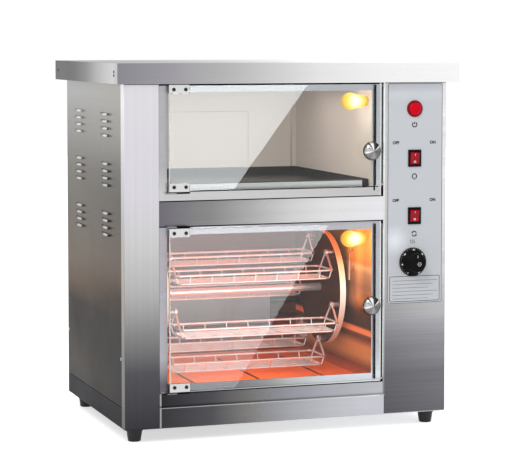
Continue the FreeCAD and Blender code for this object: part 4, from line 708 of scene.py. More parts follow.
def evaluated_mesh(carrier):
    bpy.context.view_layer.update()
    mesh = bpy.data.meshes.new_from_object(carrier.evaluated_get(bpy.context.evaluated_depsgraph_get()))
    bpy.data.objects.remove(carrier)
    return mesh


def carried(data, name="carrier"):
    carrier = bpy.data.objects.new(name, data)
    bpy.context.scene.collection.objects.link(carrier)
    return carrier


def letters(text, height, thickness):
    """Lettering as a mesh in the XY plane, its middle at the origin."""
    curve = bpy.data.curves.new("lettering", "FONT")
    curve.body = text
    curve.size = height
    curve.align_x = "CENTER"
    curve.align_y = "CENTER"
    curve.extrude = thickness
    curve.offset = 0.05 * height
    mesh = evaluated_mesh(carried(curve))
    bpy.data.curves.remove(curve)
    return mesh


def surface_at(node, x, z):
    """Where a line along +Y first meets a node, and the way its face looks there."""
    bm = bmesh.new()
    bm.from_mesh(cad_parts[node].data)
    tree = BVHTree.FromBMesh(bm)
    spot, normal, _, _ = tree.ray_cast(Vector((x, -1.0, z)), Vector((0, 1, 0)))
    bm.free()
    if spot is None:
        raise RuntimeError("nothing of %s at x %.4f z %.4f" % (node, x, z))
    return spot, normal


def add_upright(bm, mesh, spot, normal=FRONT_AXIS, turn=0.0):
    """Adds a mesh made in the XY plane to bm, standing on a face that looks along the normal."""
    across = Vector((0, 0, 1)).cross(normal).normalized()
    up = normal.cross(across)
    stand = Matrix((across, up, normal)).transposed().to_4x4()
    mesh.transform(Matrix.Translation(spot) @ stand @ Matrix.Rotation(turn, 4, "Z"))
    bm.from_mesh(mesh)
    bpy.data.meshes.remove(mesh)


def flat_shape(corners, thickness):
    """A thin plate from corners in the XY plane."""
    bm = bmesh.new()
    face = bm.faces.new([bm.verts.new((x, y, 0)) for x, y in corners])
    grown = bmesh.ops.extrude_face_region(bm, geom=[face])["geom"]
    bmesh.ops.translate(bm, verts=[g for g in grown if isinstance(g, bmesh.types.BMVert)],
                        vec=(0, 0, thickness))
    bmesh.ops.recalc_face_normals(bm, faces=bm.faces)
    mesh = bpy.data.meshes.new("plate")
    bm.to_mesh(mesh)
    bm.free()
    return mesh


def band(points, width, thickness, closed=False):
    """A thin line of one width along points in the XY plane."""
    bm = bmesh.new()
    count = len(points)
    rows = []
    for i, point in enumerate(points):
        before = Vector(points[(i - 1) % count] if closed or i else points[0])
        after = Vector(points[(i + 1) % count] if closed or i < count - 1 else points[-1])
        here = Vector(point)
        first, second = here - before, after - here
        first = first.normalized() if first.length > 1e-9 else second.normalized()
        second = second.normalized() if second.length > 1e-9 else first
        middle = (first + second).normalized()
        side = Vector((-middle.y, middle.x)) * width / 2 / max(0.4, middle.dot(first))
        rows.append([bm.verts.new((*(here + side * s), level)) for s, level in
                     ((-1, 0), (1, 0), (1, thickness), (-1, thickness))])
    spans = list(zip(rows, rows[1:] + rows[:1])) if closed else list(zip(rows, rows[1:]))
    for first, second in spans:
        for i in range(4):
            bm.faces.new([first[i], first[(i + 1) % 4], second[(i + 1) % 4], second[i]])
    if not closed:
        bm.faces.new(rows[0])
        bm.faces.new(rows[-1])
    bmesh.ops.recalc_face_normals(bm, faces=bm.faces)
    mesh = bpy.data.meshes.new("band")
    bm.to_mesh(mesh)
    bm.free()
    return mesh


# Geometry trees for what repeats.


def geometry_tree(name, sockets):
    tree = bpy.data.node_groups.new(name, "GeometryNodeTree")
    tree.interface.new_socket("Geometry", in_out="INPUT", socket_type="NodeSocketGeometry")
    for label, kind, value in sockets:
        socket = tree.interface.new_socket(label, in_out="INPUT", socket_type=kind)
        if value is not None:
            socket.default_value = value
    tree.interface.new_socket("Geometry", in_out="OUTPUT", socket_type="NodeSocketGeometry")
    return tree, add(tree, "NodeGroupInput").outputs, add(tree, "NodeGroupOutput")


def close_tree(tree, end, instances, material):
    """Ends a tree in real geometry with its material."""
    real = add(tree, "GeometryNodeRealizeInstances", {0: instances}).outputs[0]
    painted = add(tree, "GeometryNodeSetMaterial", {"Geometry": real, "Material": material}).outputs[0]
    wire(tree, end, {"Geometry": painted})


def heads_tree():
    """Sets a head on each point, along the point's facing, turned at random about it."""
    tree, given, end = geometry_tree("Fastener Heads", [
        ("Head", "NodeSocketObject", None), ("Size", "NodeSocketFloat", 1.0),
        ("Seed", "NodeSocketInt", 3), ("Material", "NodeSocketMaterial", None)])
    points = add(tree, "GeometryNodeMeshToPoints", {"Mesh": given["Geometry"]}).outputs[0]
    facing = add(tree, "GeometryNodeInputNamedAttribute", {"Name": "facing"}, data_type="FLOAT_VECTOR")
    turn = add(tree, "FunctionNodeAlignRotationToVector", {"Vector": facing.outputs[0]}, axis="Z")
    head = add(tree, "GeometryNodeObjectInfo", {"Object": given["Head"]}).outputs["Geometry"]
    placed = add(tree, "GeometryNodeInstanceOnPoints", {"Points": points, "Instance": head,
                                                        "Rotation": turn.outputs[0],
                                                        "Scale": given["Size"]}).outputs[0]
    spin = add(tree, "FunctionNodeRandomValue", {"Seed": given["Seed"]}, data_type="FLOAT")
    wire(tree, spin, {2: 0.0, 3: math.tau})
    vector = add(tree, "ShaderNodeCombineXYZ", {2: spin.outputs[1]}).outputs[0]
    turned = add(tree, "GeometryNodeRotateInstances", {"Instances": placed, "Rotation": vector}).outputs[0]
    close_tree(tree, end, turned, given["Material"])
    return tree


def ring_tree():
    """Upright ticks round part of a circle in the XY plane, each fifth one longer."""
    tree, given, end = geometry_tree("Ring Of Ticks", [
        ("Count", "NodeSocketInt", 31), ("Radius", "NodeSocketFloat", 0.02),
        ("Sweep", "NodeSocketFloat", 5.2), ("Long", "NodeSocketFloat", 0.003),
        ("Width", "NodeSocketFloat", 0.0005), ("Height", "NodeSocketFloat", 0.0002),
        ("Material", "NodeSocketMaterial", None)])
    line = add(tree, "GeometryNodeMeshLine", {"Count": given["Count"], "Offset": (0, 0, 0)}).outputs[0]
    number = add(tree, "GeometryNodeInputIndex").outputs[0]
    last = math_node(tree, "SUBTRACT", given["Count"], 1.0)
    share = math_node(tree, "SUBTRACT", math_node(tree, "DIVIDE", number, last), 0.5)
    angle = math_node(tree, "MULTIPLY", share, given["Sweep"])
    sine, cosine = math_node(tree, "SINE", angle), math_node(tree, "COSINE", angle)
    spot = add(tree, "ShaderNodeCombineXYZ", {0: math_node(tree, "MULTIPLY", sine, given["Radius"]),
                                              1: math_node(tree, "MULTIPLY", cosine, given["Radius"])})
    placed = add(tree, "GeometryNodeSetPosition", {"Geometry": line, "Position": spot.outputs[0]}).outputs[0]
    fifth = add(tree, "ShaderNodeMath", {0: math_node(tree, "MODULO", number, 5.0), 1: 0.5},
                operation="LESS_THAN").outputs[0]
    size = add(tree, "ShaderNodeCombineXYZ", {
        0: given["Width"], 1: math_node(tree, "MULTIPLY", given["Long"], between(tree, fifth, 0.0, 1.0, 0.55, 1.0)),
        2: given["Height"]}).outputs[0]
    tick = add(tree, "GeometryNodeMeshCube", {"Size": (1, 1, 1)}).outputs[0]
    back = add(tree, "ShaderNodeCombineXYZ", {2: math_node(tree, "MULTIPLY", angle, -1.0)}).outputs[0]
    turn = add(tree, "FunctionNodeEulerToRotation", {0: back}).outputs[0]
    stood = add(tree, "GeometryNodeInstanceOnPoints", {"Points": placed, "Instance": tick, "Rotation": turn,
                                                       "Scale": size}).outputs[0]
    close_tree(tree, end, stood, given["Material"])
    return tree


def ribs_tree():
    """A row of half-round ribs along a straight strip."""
    tree, given, end = geometry_tree("Strip Ribs", [
        ("Count", "NodeSocketInt", 40), ("Start", "NodeSocketVector", (0, 0, 0)),
        ("Pitch", "NodeSocketVector", (0, 0, 0.004)), ("Size", "NodeSocketVector", (0.004, 0.001, 0.002)),
        ("Material", "NodeSocketMaterial", None)])
    line = add(tree, "GeometryNodeMeshLine", {"Count": given["Count"], "Start Location": given["Start"],
                                              "Offset": given["Pitch"]}).outputs[0]
    rib = add(tree, "GeometryNodeMeshUVSphere", {"Segments": 10, "Rings": 6, "Radius": 0.5}).outputs[0]
    stood = add(tree, "GeometryNodeInstanceOnPoints", {"Points": line, "Instance": rib,
                                                       "Scale": given["Size"]}).outputs[0]
    close_tree(tree, end, stood, given["Material"])
    return tree


def grow(tree, values, start=None):
    """Runs a geometry tree, its inputs set by their sockets' identifiers, and gives a plain mesh."""
    carrier = carried(start or bpy.data.meshes.new("start"))
    modifier = carrier.modifiers.new("growth", "NODES")
    modifier.node_group = tree
    for item in tree.interface.items_tree:
        if item.item_type == "SOCKET" and item.in_out == "INPUT" and item.name in values:
            modifier[item.identifier] = values[item.name]
    return evaluated_mesh(carrier)


def facing_points(spots):
    """A mesh of loose points with the way that each one faces."""
    mesh = bpy.data.meshes.new("points")
    mesh.from_pydata([spot for spot, _ in spots], [], [])
    facing = mesh.attributes.new("facing", "FLOAT_VECTOR", "POINT")
    facing.data.foreach_set("vector", [value for _, way in spots for value in way])
    return mesh


def screw_head(radius, height, recess):
    """A raised head with a cross cut into it, standing on the XY plane."""
    bm = bmesh.new()
    dome = [(radius * math.cos(a), height * (0.35 + 0.65 * math.sin(a)))
            for a in (math.radians(90) * i / 6 for i in range(6))]
    lathe(bm, [(0, -0.3 * height), (radius, -0.3 * height), *dome, (0, height)], Vector(),
          Vector((0, 0, 1)), 28)
    head = carried(finished_mesh("head", bm, 50))
    cutter_bm = bmesh.new()
    for long, short in ((recess, 0.24 * recess), (0.24 * recess, recess)):
        block(cutter_bm, (-long, -short, 0.35 * height), (long, short, 2 * height))
    cutter = carried(finished_mesh("cross", cutter_bm))
    cut = head.modifiers.new("cross", "BOOLEAN")
    cut.object = cutter
    cut.solver = "EXACT"
    cut.use_self = True
    mesh = evaluated_mesh(head)
    bpy.data.objects.remove(cutter)
    return mesh


def set_heads(name, spots, head_mesh, body, material, stands_for):
    """Heads on their spots as one piece of one body."""
    pattern = carried(head_mesh)
    mesh = grow(TREES["heads"], {"Head": pattern, "Size": 1.0, "Material": material}, facing_points(spots))
    bpy.data.objects.remove(pattern)
    return settle(name, mesh, body, [material], stands_for)


TREES = {"heads": heads_tree(), "ring": ring_tree(), "ribs": ribs_tree()}


def loose_boxes(node):
    """The box of each separate solid in a node, as (low, high)."""
    bm = bmesh.new()
    bm.from_mesh(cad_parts[node].data)
    bmesh.ops.remove_doubles(bm, verts=bm.verts, dist=2e-6)
    left = set(bm.verts)
    boxes = []
    while left:
        shell, edge = set(), [next(iter(left))]
        while edge:
            vert = edge.pop()
            if vert in shell:
                continue
            shell.add(vert)
            edge.extend(e.other_vert(vert) for e in vert.link_edges)
        left -= shell
        low = Vector([min(v.co[i] for v in shell) for i in range(3)])
        high = Vector([max(v.co[i] for v in shell) for i in range(3)])
        boxes.append((low, high))
    bm.free()
    return sorted(boxes, key=lambda b: tuple(round(v, 4) for v in b[0]))


# Stage.


class ROASTER_OT_stage(bpy.types.Operator):
    """Sets the camera, the white floor and world, and the soft lights"""
    bl_idname = "roaster.stage"
    bl_label = "Stage"

    def execute(self, context):
        scene = context.scene
        camera_data = bpy.data.cameras.new("camera")
        camera_data.lens = 139.9
        camera_data.sensor_width = 36.0
        camera_data.shift_y = -0.1165
        camera = bpy.data.objects.new("camera", camera_data)
        camera.location = (-1.1660, -3.4538, 0.6899)
        camera.rotation_euler = (math.radians(86.361), 0.0, math.radians(-18.808))
        scene.collection.objects.link(camera)
        scene.camera = camera
        scene.view_settings.view_transform = "Standard"
        self.world(scene)
        self.floor(scene)
        self.light("key", (-1.7, -2.3, 2.7), (0, 0, 0.3), 1.2, 34.0, (1.0, 0.99, 0.97))
        self.light("rear_fill", (1.8, 2.4, 2.2), (0, 0, 0.3), 1.6, 26.0, (0.98, 0.99, 1.0))
        return {"FINISHED"}

    def world(self, scene):
        scene.world = bpy.data.worlds.new("white_room")
        scene.world.use_nodes = True
        tree = scene.world.node_tree
        path = add(tree, "ShaderNodeLightPath").outputs
        seen = math_node(tree, "ADD", math_node(tree, "ADD", path["Is Camera Ray"], path["Is Glossy Ray"]),
                         path["Is Transmission Ray"])
        strength = between(tree, seen, 0.0, 1.0, 0.78, 1.0)
        wire(tree, tree.nodes["Background"], {"Color": (1, 1, 1, 1), "Strength": strength})

    def floor(self, scene):
        material = bpy.data.materials.new("white_floor")
        material.use_nodes = True
        tree = material.node_tree
        wire(tree, tree.nodes["Principled BSDF"], {"Base Color": (0.82, 0.82, 0.82, 1), "Roughness": 0.9,
                                                   "Specular IOR Level": 0.0})
        path = add(tree, "ShaderNodeLightPath").outputs
        mirrored = math_node(tree, "ADD", path["Is Glossy Ray"], path["Is Transmission Ray"])
        strength = math_node(tree, "MULTIPLY_ADD", path["Is Camera Ray"], 0.62,
                             math_node(tree, "MULTIPLY", mirrored, 0.30))
        glow = add(tree, "ShaderNodeEmission", {"Strength": strength})
        both = add(tree, "ShaderNodeAddShader", {0: tree.nodes["Principled BSDF"].outputs[0],
                                                 1: glow.outputs[0]})
        wire(tree, tree.nodes["Material Output"], {"Surface": both.outputs[0]})
        mesh = bpy.data.meshes.new("floor")
        mesh.from_pydata([(-8, -8, 0), (8, -8, 0), (8, 8, 0), (-8, 8, 0)], [], [(0, 1, 2, 3)])
        mesh.materials.append(material)
        floor = bpy.data.objects.new("floor", mesh)
        scene.collection.objects.link(floor)

    def light(self, name, spot, target, size, power, colour):
        data = bpy.data.lights.new(name, "AREA")
        data.size = size
        data.energy = power
        data.color = colour
        lamp = bpy.data.objects.new(name, data)
        lamp.location = spot
        lamp.rotation_euler = (Vector(target) - Vector(spot)).to_track_quat("-Z", "Y").to_euler()
        lamp.visible_camera = False
        bpy.context.scene.collection.objects.link(lamp)


# Cabinet.

SOFT_SHEETS = {
    "left_column": ("left_column_sheet", "cabinet", "left_column"),
    "middle_rail": ("middle_rail_sheet", "cabinet", "middle_rail"),
    "base_pan": ("base_pan_sheet", "cabinet", "base_pan"),
    "crumb_tray": ("crumb_tray_sheet", "crumb_drawer", "crumb_tray"),
    "pivot_brackets": ("pivot_bracket_tabs", "cabinet", "pivot_steel"),
}


class ROASTER_OT_cabinet(bpy.types.Operator):
    """Folds the cabinet's sheets with a painted highlight on their edges, adds painted highlight strips, and darkens
    their joints with strips that are partly painted shadow
    """
    bl_idname = "roaster.cabinet"
    bl_label = "Cabinet"

    def execute(self, context):
        edge = context.scene.roaster_sheet.edge
        painted_edge = finish(edge_highlight_steel)
        for node, (name, body, sheen) in SOFT_SHEETS.items():
            bm = from_node(node)
            soften(bm, edge, material=1)
            settle(name, finished_mesh(name, bm, 50), body,
                   [finish(sheet_steel, sheen), painted_edge], [node])
        for node, material in (("control_column", finish(control_steel)),
                               ("upper_opening_frame", finish(frame_steel, "upper_opening_frame")),
                               ("lower_opening_frame", finish(frame_steel, "lower_opening_frame"))):
            bm = from_node(node)
            soften(bm, edge, material=1)
            settle(node + "_sheet", finished_mesh(node + "_sheet", bm, 50), "cabinet",
                   [material, painted_edge], [node])
        bm = from_node("top_cover")
        soften(bm, 3 * edge, segments=3, material=1)
        bm.normal_update()
        for face in bm.faces:
            if face.normal.z > 0.9 and face.calc_area() > FLAT_AREA:
                face.material_index = 2
        settle("cover_shell", finished_mesh("cover_shell", bm, 50), "cabinet",
               [finish(cover_steel), painted_edge, finish(cover_top_steel)], ["top_cover"])
        self.corner_seams(edge)
        self.returns()
        self.joints(context.scene.roaster_sheet.seam)
        return {"FINISHED"}

    def returns(self):
        """Painted highlight strips: bright lines down the columns' folded edges on the cabinet's sides, on the lips
        beside the doors, and along edges of the lower front.
        """
        bm = bmesh.new()
        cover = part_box("top_cover")[0].z
        for node in ("left_column", "control_column"):
            low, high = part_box(node)
            edge = low.x if low.x < -0.2 else high.x
            block(bm, (edge - 0.5 * MM, low.y + 0.3 * MM, low.z + 0.5 * MM), (edge + 0.5 * MM, low.y + 20 * MM, cover))
        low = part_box("control_column")[0]
        lip = bmesh.new()
        block(lip, (low.x - 2.4 * MM, low.y - 0.1 * MM, 0.0605), (low.x + 0.8 * MM, low.y + 2 * MM, cover))
        settle("column_lip", finished_mesh("column_lip", lip), "cabinet",
               [finish(sheet_steel, "lip_steel")])
        lips = bmesh.new()
        for node in ("upper_opening_frame", "lower_opening_frame"):
            low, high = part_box(node)
            block(lips, (high.x - 1.8 * MM, low.y - 0.3 * MM, low.z + 1 * MM),
                  (high.x + 0.3 * MM, low.y + 0.9 * MM, min(high.z, cover) - 1 * MM))
        settle("frame_lips", finished_mesh("frame_lips", lips), "cabinet",
               [finish(sheet_steel, "frame_lip")])
        tray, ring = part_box("crumb_tray"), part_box("lower_opening_frame")
        left, right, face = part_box("middle_rail")[0].x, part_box("middle_rail")[1].x, ring[0].y
        lines = bmesh.new()
        block(lines, (left, face - 0.3 * MM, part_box("base_pan")[0].z + 1 * MM), (left + 3 * MM, face + 0.2 * MM, ring[0].z))
        for z in (tray[0].z - 2.4 * MM, ring[0].z + 0.9 * MM):
            block(lines, (left + 3 * MM, face - 0.15 * MM, z), (right - 8 * MM, face + 0.1 * MM, z + 1.3 * MM))
        settle("edge_lines", finished_mesh("edge_lines", lines), "cabinet",
               [finish(sheet_steel, "edge_line")])
        soften(bm, 0.2 * MM, material=1)
        settle("column_returns", finished_mesh("column_returns", bm), "cabinet",
               [finish(sheet_steel, "return_steel"), finish(edge_highlight_steel)])

    def corner_seams(self, edge):
        """Welded and ground mitres at the cover's four corners."""
        low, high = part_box("top_cover")
        bm = bmesh.new()
        inset = 2.2 * MM
        for x, way in ((low.x, 1), (high.x, -1)):
            for y, deep in ((low.y, 1), (high.y, -1)):
                start = Vector((x + way * inset, y + deep * inset, low.z + 2 * MM))
                block(bm, start - Vector((0.5 * MM, 0.5 * MM, 0)),
                      Vector((start.x + 0.5 * MM, start.y + 0.5 * MM, high.z - 2 * MM)))
        soften(bm, 0.2 * MM)
        # The welds are drawn in the bright steel of the painted edge highlight.
        settle("cover_corner_welds", finished_mesh("cover_corner_welds", bm), "cabinet",
               [finish(edge_highlight_steel)])

    def joints(self, width):
        """Dark strips on the front: the joints where two sheets meet, partly painted shadow, with painted shadow under
        the cover's edge and in the gap right of the door frames, and a dark strip below the upper seal.
        """
        rail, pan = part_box("middle_rail"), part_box("base_pan")
        tray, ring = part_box("crumb_tray"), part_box("lower_opening_frame")
        lip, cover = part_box("tray_front_rail")[0].z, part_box("top_cover")[0].z
        left, right = rail[0].x, rail[1].x
        face = rail[0].y
        rows = [(rail[0].z, left, right), (rail[1].z + 0.5 * MM, left, right), (ring[0].z, left, right),
                (tray[0].z, left, right), (lip + 2.3 * MM, left + 14 * MM, right - 12 * MM)]
        bm = bmesh.new()
        proud = 0.06 * MM
        for z, start, end in rows:
            block(bm, (start, face - proud, z - width / 2), (end, face + proud, z + width / 2))
        # Painted shadow under the cover's front edge, over the doors and the columns.
        block(bm, (left, face - proud, cover - 3 * MM), (right, face + proud, cover))
        for node in ("left_column", "control_column"):
            low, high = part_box(node)
            block(bm, (low.x + 1 * MM, face - proud, cover - 1.4 * MM), (high.x - 1 * MM, face + proud, cover))
        # Painted shadow in the gap right of the door frames.
        block(bm, (ring[1].x + 0.2 * MM, face + 1.0 * MM, tray[1].z + 2 * MM),
              (right, face + 1.6 * MM, cover))
        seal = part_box("upper_door_seal")[0]
        block(bm, (seal.x - 0.3 * MM, face - 0.5 * MM, 0.4222), (seal.x + 2.4 * MM, face + proud, seal.z - 5 * MM))
        settle("sheet_joints", finished_mesh("sheet_joints", bm), "cabinet",
               [finish(moulded, "joint_shadow", 0.05, 0.8, 0.1, 0.0, 0.05)])


class ROASTER_OT_fasteners(bpy.types.Operator):
    """Sets the rivets and the cross-headed screws"""
    bl_idname = "roaster.fasteners"
    bl_label = "Fasteners"

    def execute(self, context):
        zinc = finish(plain_metal, "zinc", (0.72, 0.72, 0.73), 0.3)
        rivets = []
        for low, high in loose_boxes("cover_rivets"):
            way = Vector((1 if low.x > 0 else -1, 0, 0))
            rivets.append((Vector(((low if low.x > 0 else high).x, (low.y + high.y) / 2,
                                   (low.z + high.z) / 2)), way))
        bm = bmesh.new()
        radius, height = 2.6 * MM, 0.8 * MM
        lathe(bm, [(0, -0.2 * MM), (radius, -0.2 * MM), (radius, 0.2 * MM), (0.8 * radius, 0.6 * height),
                   (0.35 * radius, height), (0.3 * radius, 0.7 * height), (0, 0.7 * height)],
              Vector(), Vector((0, 0, 1)), 24)
        set_heads("rivet_heads", rivets, finished_mesh("rivet", bm, 50), "cabinet",
                  finish(plain_metal, "rivet_steel", (0.12, 0.12, 0.13), 0.4), ["cover_rivets"])
        screws = []
        half = abs(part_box("left_side_panel")[0].x) - 4.2 * MM
        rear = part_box("rear_panel")[1].y
        for low, high in loose_boxes("cabinet_screws"):
            middle = (low + high) / 2
            if max(abs(low.x), abs(high.x)) > half + 0.5 * MM:
                way = 1 if middle.x > 0 else -1
                screws.append((Vector((way * half, middle.y, middle.z)), Vector((way, 0, 0))))
            else:
                screws.append((Vector((middle.x, rear, middle.z)), Vector((0, 1, 0))))
        set_heads("cabinet_screw_heads", screws, screw_head(3 * MM, 1.6 * MM, 1.7 * MM), "cabinet",
                  zinc, ["cabinet_screws"])
        for door in ("upper", "lower"):
            clips = []
            for low, high in loose_boxes(door + "_clip_screws"):
                middle = (low + high) / 2
                clips.append((Vector((middle.x, low.y + 1.6 * MM, middle.z)), FRONT_AXIS))
            set_heads(door + "_clip_screw_heads", clips, screw_head(3.2 * MM, 1.6 * MM, 2.3 * MM),
                      door + "_door",
                      finish(plain_metal, "clip_screw_steel", (0.22, 0.22, 0.23), 0.35),
                      [door + "_clip_screws"])
        return {"FINISHED"}


# Doors.


class ROASTER_OT_doors(bpy.types.Operator):
    """Grinds the glass, folds the clips and sets the seals and knobs of both doors"""
    bl_idname = "roaster.doors"
    bl_label = "Doors"

    def execute(self, context):
        looks = context.scene.roaster_doors
        for door in ("upper", "lower"):
            body = door + "_door"
            bm = from_node(door + "_door_glass")
            soften(bm, looks.polish, material=1)
            for face in bm.faces:
                if abs(face.normal.y) < 0.7:
                    face.material_index = 1
            settle(door + "_glass_pane", finished_mesh(door + "_glass_pane", bm, 40), body,
                   [finish(clear_glass), finish(ground_glass)], [door + "_door_glass"])
            bm = from_node(door + "_door_clips")
            for vert in bm.verts:
                if vert.co.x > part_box(door + "_door_clips")[1].x - 0.5 * MM:
                    vert.co.x -= 2 * MM
            soften(bm, 0.35 * MM, material=1)
            settle(door + "_clip_folds", finished_mesh(door + "_clip_folds", bm, 40), body,
                   [finish(sheet_steel, "clip_steel"), finish(edge_highlight_steel)],
                   [door + "_door_clips"])
            self.pads(door, body)
            self.seal(door, body, looks.rib_pitch)
            self.knob(door, body)
            # A bright strip down each pane's left edge: a painted highlight on the cut edge of the glass, which also
            # hides the liner's dark flange behind it.
            low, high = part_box(door + "_door_glass")
            bm = bmesh.new()
            block(bm, (low.x, low.y - 0.1 * MM, low.z + 2 * MM), (low.x + 1.8 * MM, low.y + 0.2 * MM, high.z - 2 * MM))
            settle(door + "_glass_edge", finished_mesh(door + "_glass_edge", bm), body,
                   [finish(plain_metal, "glass_edge_light", (0.86, 0.85, 0.84), 0.35)])
        self.reflections(context.scene, looks.haze)
        return {"FINISHED"}

    def pads(self, door, body):
        """Black rubber pads that show past the right edges of the clips, their dark rims also painted shadow that
        stands in for the clips' shadow on the glass.
        """
        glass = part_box(door + "_door_glass")[0].y
        bm = bmesh.new()
        for low, high in loose_boxes(door + "_door_clips"):
            block(bm, (low.x, glass - 0.4 * MM, low.z + 0.3 * MM), (high.x - 1.2 * MM, glass, high.z))
        soften(bm, 0.1 * MM)
        settle(door + "_clip_pads", finished_mesh(door + "_clip_pads", bm), body,
               [finish(moulded, "seal_rubber", 0.03, 0.6, 0.1, 0.0, 0.05)])

    def seal(self, door, body, pitch):
        """Magnet strip: a flat body with a row of soft ribs on its rear."""
        low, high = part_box(door + "_door_seal")
        low.x, high.x = low.x - 0.3 * MM, low.x + 2.6 * MM
        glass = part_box(door + "_door_glass")
        low.z, high.z = max(low.z - 6 * MM, glass[0].z + 1 * MM), min(high.z + 6 * MM, glass[1].z - 1 * MM)
        rubber = finish(moulded, "seal_rubber", 0.03, 0.6, 0.1, 0.0, 0.05)
        bm = bmesh.new()
        block(bm, low, (high.x, high.y - 0.8 * MM, high.z))
        soften(bm, 0.3 * MM)
        count = int((high.z - low.z) / pitch)
        ribs = grow(TREES["ribs"], {
            "Count": count, "Start": ((low.x + high.x) / 2, high.y - 0.8 * MM, low.z + pitch / 2),
            "Pitch": (0, 0, pitch), "Size": (0.8 * (high.x - low.x), 1.6 * MM, 0.7 * pitch),
            "Material": rubber})
        bm.from_mesh(ribs)
        settle(door + "_seal_strip", finished_mesh(door + "_seal_strip", bm), body, [rubber],
               [door + "_door_seal"])

    def knob(self, door, body):
        """Chromed knob with a waisted neck and a domed, turned face, and its nut behind the glass."""
        parts = loose_boxes(door + "_door_knob")
        head = min(parts, key=lambda b: b[0].y)
        nut = max(parts, key=lambda b: b[1].y)
        radius = (head[1].x - head[0].x) / 2
        glass_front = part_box(door + "_door_glass")[0].y
        centre = Vector(((head[0].x + head[1].x) / 2, glass_front, (head[0].z + head[1].z) / 2))
        reach = glass_front - head[0].y
        skirt = reach - 9.5 * MM
        dome = [(radius * math.cos(a), skirt + (reach - skirt) * math.sin(a))
                for a in (math.radians(90) * i / 14 for i in range(15))]
        profile = [(0, 0), (8 * MM, 0), (8 * MM, 1 * MM), (6.6 * MM, 2.4 * MM), (6.2 * MM, 5.5 * MM),
                   (7.2 * MM, 8 * MM), (11 * MM, 9.6 * MM), (radius - 1.2 * MM, 10.4 * MM),
                   (radius - 0.2 * MM, 11.6 * MM), *dome[:-1], (0, reach)]
        bm = bmesh.new()
        lathe(bm, profile, centre)
        settle(door + "_knob_dome", finished_mesh(door + "_knob_dome", bm, 60), body,
               [finish(turned_chrome, door + "_knob_chrome", centre, radius)], [door + "_door_knob"])
        bm = bmesh.new()
        middle = (nut[0] + nut[1]) / 2
        glass_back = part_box(door + "_door_glass")[1].y
        lathe(bm, [(0, 0), (6 * MM, 0), (6 * MM, 1.9 * MM), (5.4 * MM, 2.4 * MM), (3 * MM, 2.4 * MM),
                   (3 * MM, 4.5 * MM), (0, 4.5 * MM)], Vector((middle.x, glass_back, middle.z)),
              Vector((0, 1, 0)), 6)
        settle(door + "_knob_nut", finished_mesh(door + "_knob_nut", bm), body,
               [finish(plain_metal, "zinc", (0.72, 0.72, 0.73), 0.3)])

    def reflections(self, scene, strength):
        """White panels that only the door glass reflects: each lies where the camera's mirror image,
        seen past the glass, puts the corners of its reflection."""
        camera = scene.camera.location
        glass_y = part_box("upper_door_glass")[0].y
        mirror = Vector((camera.x, 2 * glass_y - camera.y, camera.z))
        card_y = -0.62
        receivers = bpy.data.collections.new("door_glass_only")
        for door in ("upper", "lower"):
            receivers.objects.link(bpy.data.objects[door + "_glass_pane"])
        edges = {"upper": (0.0299, 0.6076, -0.0823, 0.4591), "lower": (0.0714, 0.3686, -0.0476, 0.1758)}
        for door, (top_x, top_z, low_x, low_z) in edges.items():
            low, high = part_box(door + "_door_glass")
            slope = (top_x - low_x) / (top_z - low_z)
            corners = [(low.x, high.z), (top_x + slope * (high.z - top_z), high.z),
                       (low_x + slope * (low.z - low_z), low.z), (low.x, low.z)]
            spots = []
            for x, z in corners:
                sight = Vector((x, glass_y, z)) - mirror
                spots.append(mirror + sight * (card_y - mirror.y) / sight.y)
            material = bpy.data.materials.new(door + "_window_reflection")
            material.use_nodes = True
            tree = material.node_tree
            tree.nodes.remove(tree.nodes["Principled BSDF"])
            z = split(tree, add(tree, "ShaderNodeTexCoord").outputs["Object"])[2]
            foot, head = (1.0, 1.0) if door == "upper" else (0.3, 0.72)
            fade = between(tree, z, min(spots[2].z, spots[3].z), max(spots[0].z, spots[1].z),
                           strength * foot, strength * head)
            light = add(tree, "ShaderNodeEmission", {"Color": (0.92, 0.98, 1.0, 1), "Strength": fade})
            clear = add(tree, "ShaderNodeBsdfTransparent")
            both = add(tree, "ShaderNodeAddShader", {0: light.outputs[0], 1: clear.outputs[0]})
            wire(tree, tree.nodes["Material Output"], {"Surface": both.outputs[0]})
            mesh = bpy.data.meshes.new(door + "_reflection")
            mesh.from_pydata(spots, [], [(0, 1, 2, 3)])
            mesh.materials.append(material)
            card = bpy.data.objects.new(door + "_reflection", mesh)
            scene.collection.objects.link(card)
            card.visible_camera = card.visible_diffuse = card.visible_shadow = False
            card.visible_transmission = card.visible_volume_scatter = False
            card.light_linking.receiver_collection = receivers


# Controls.


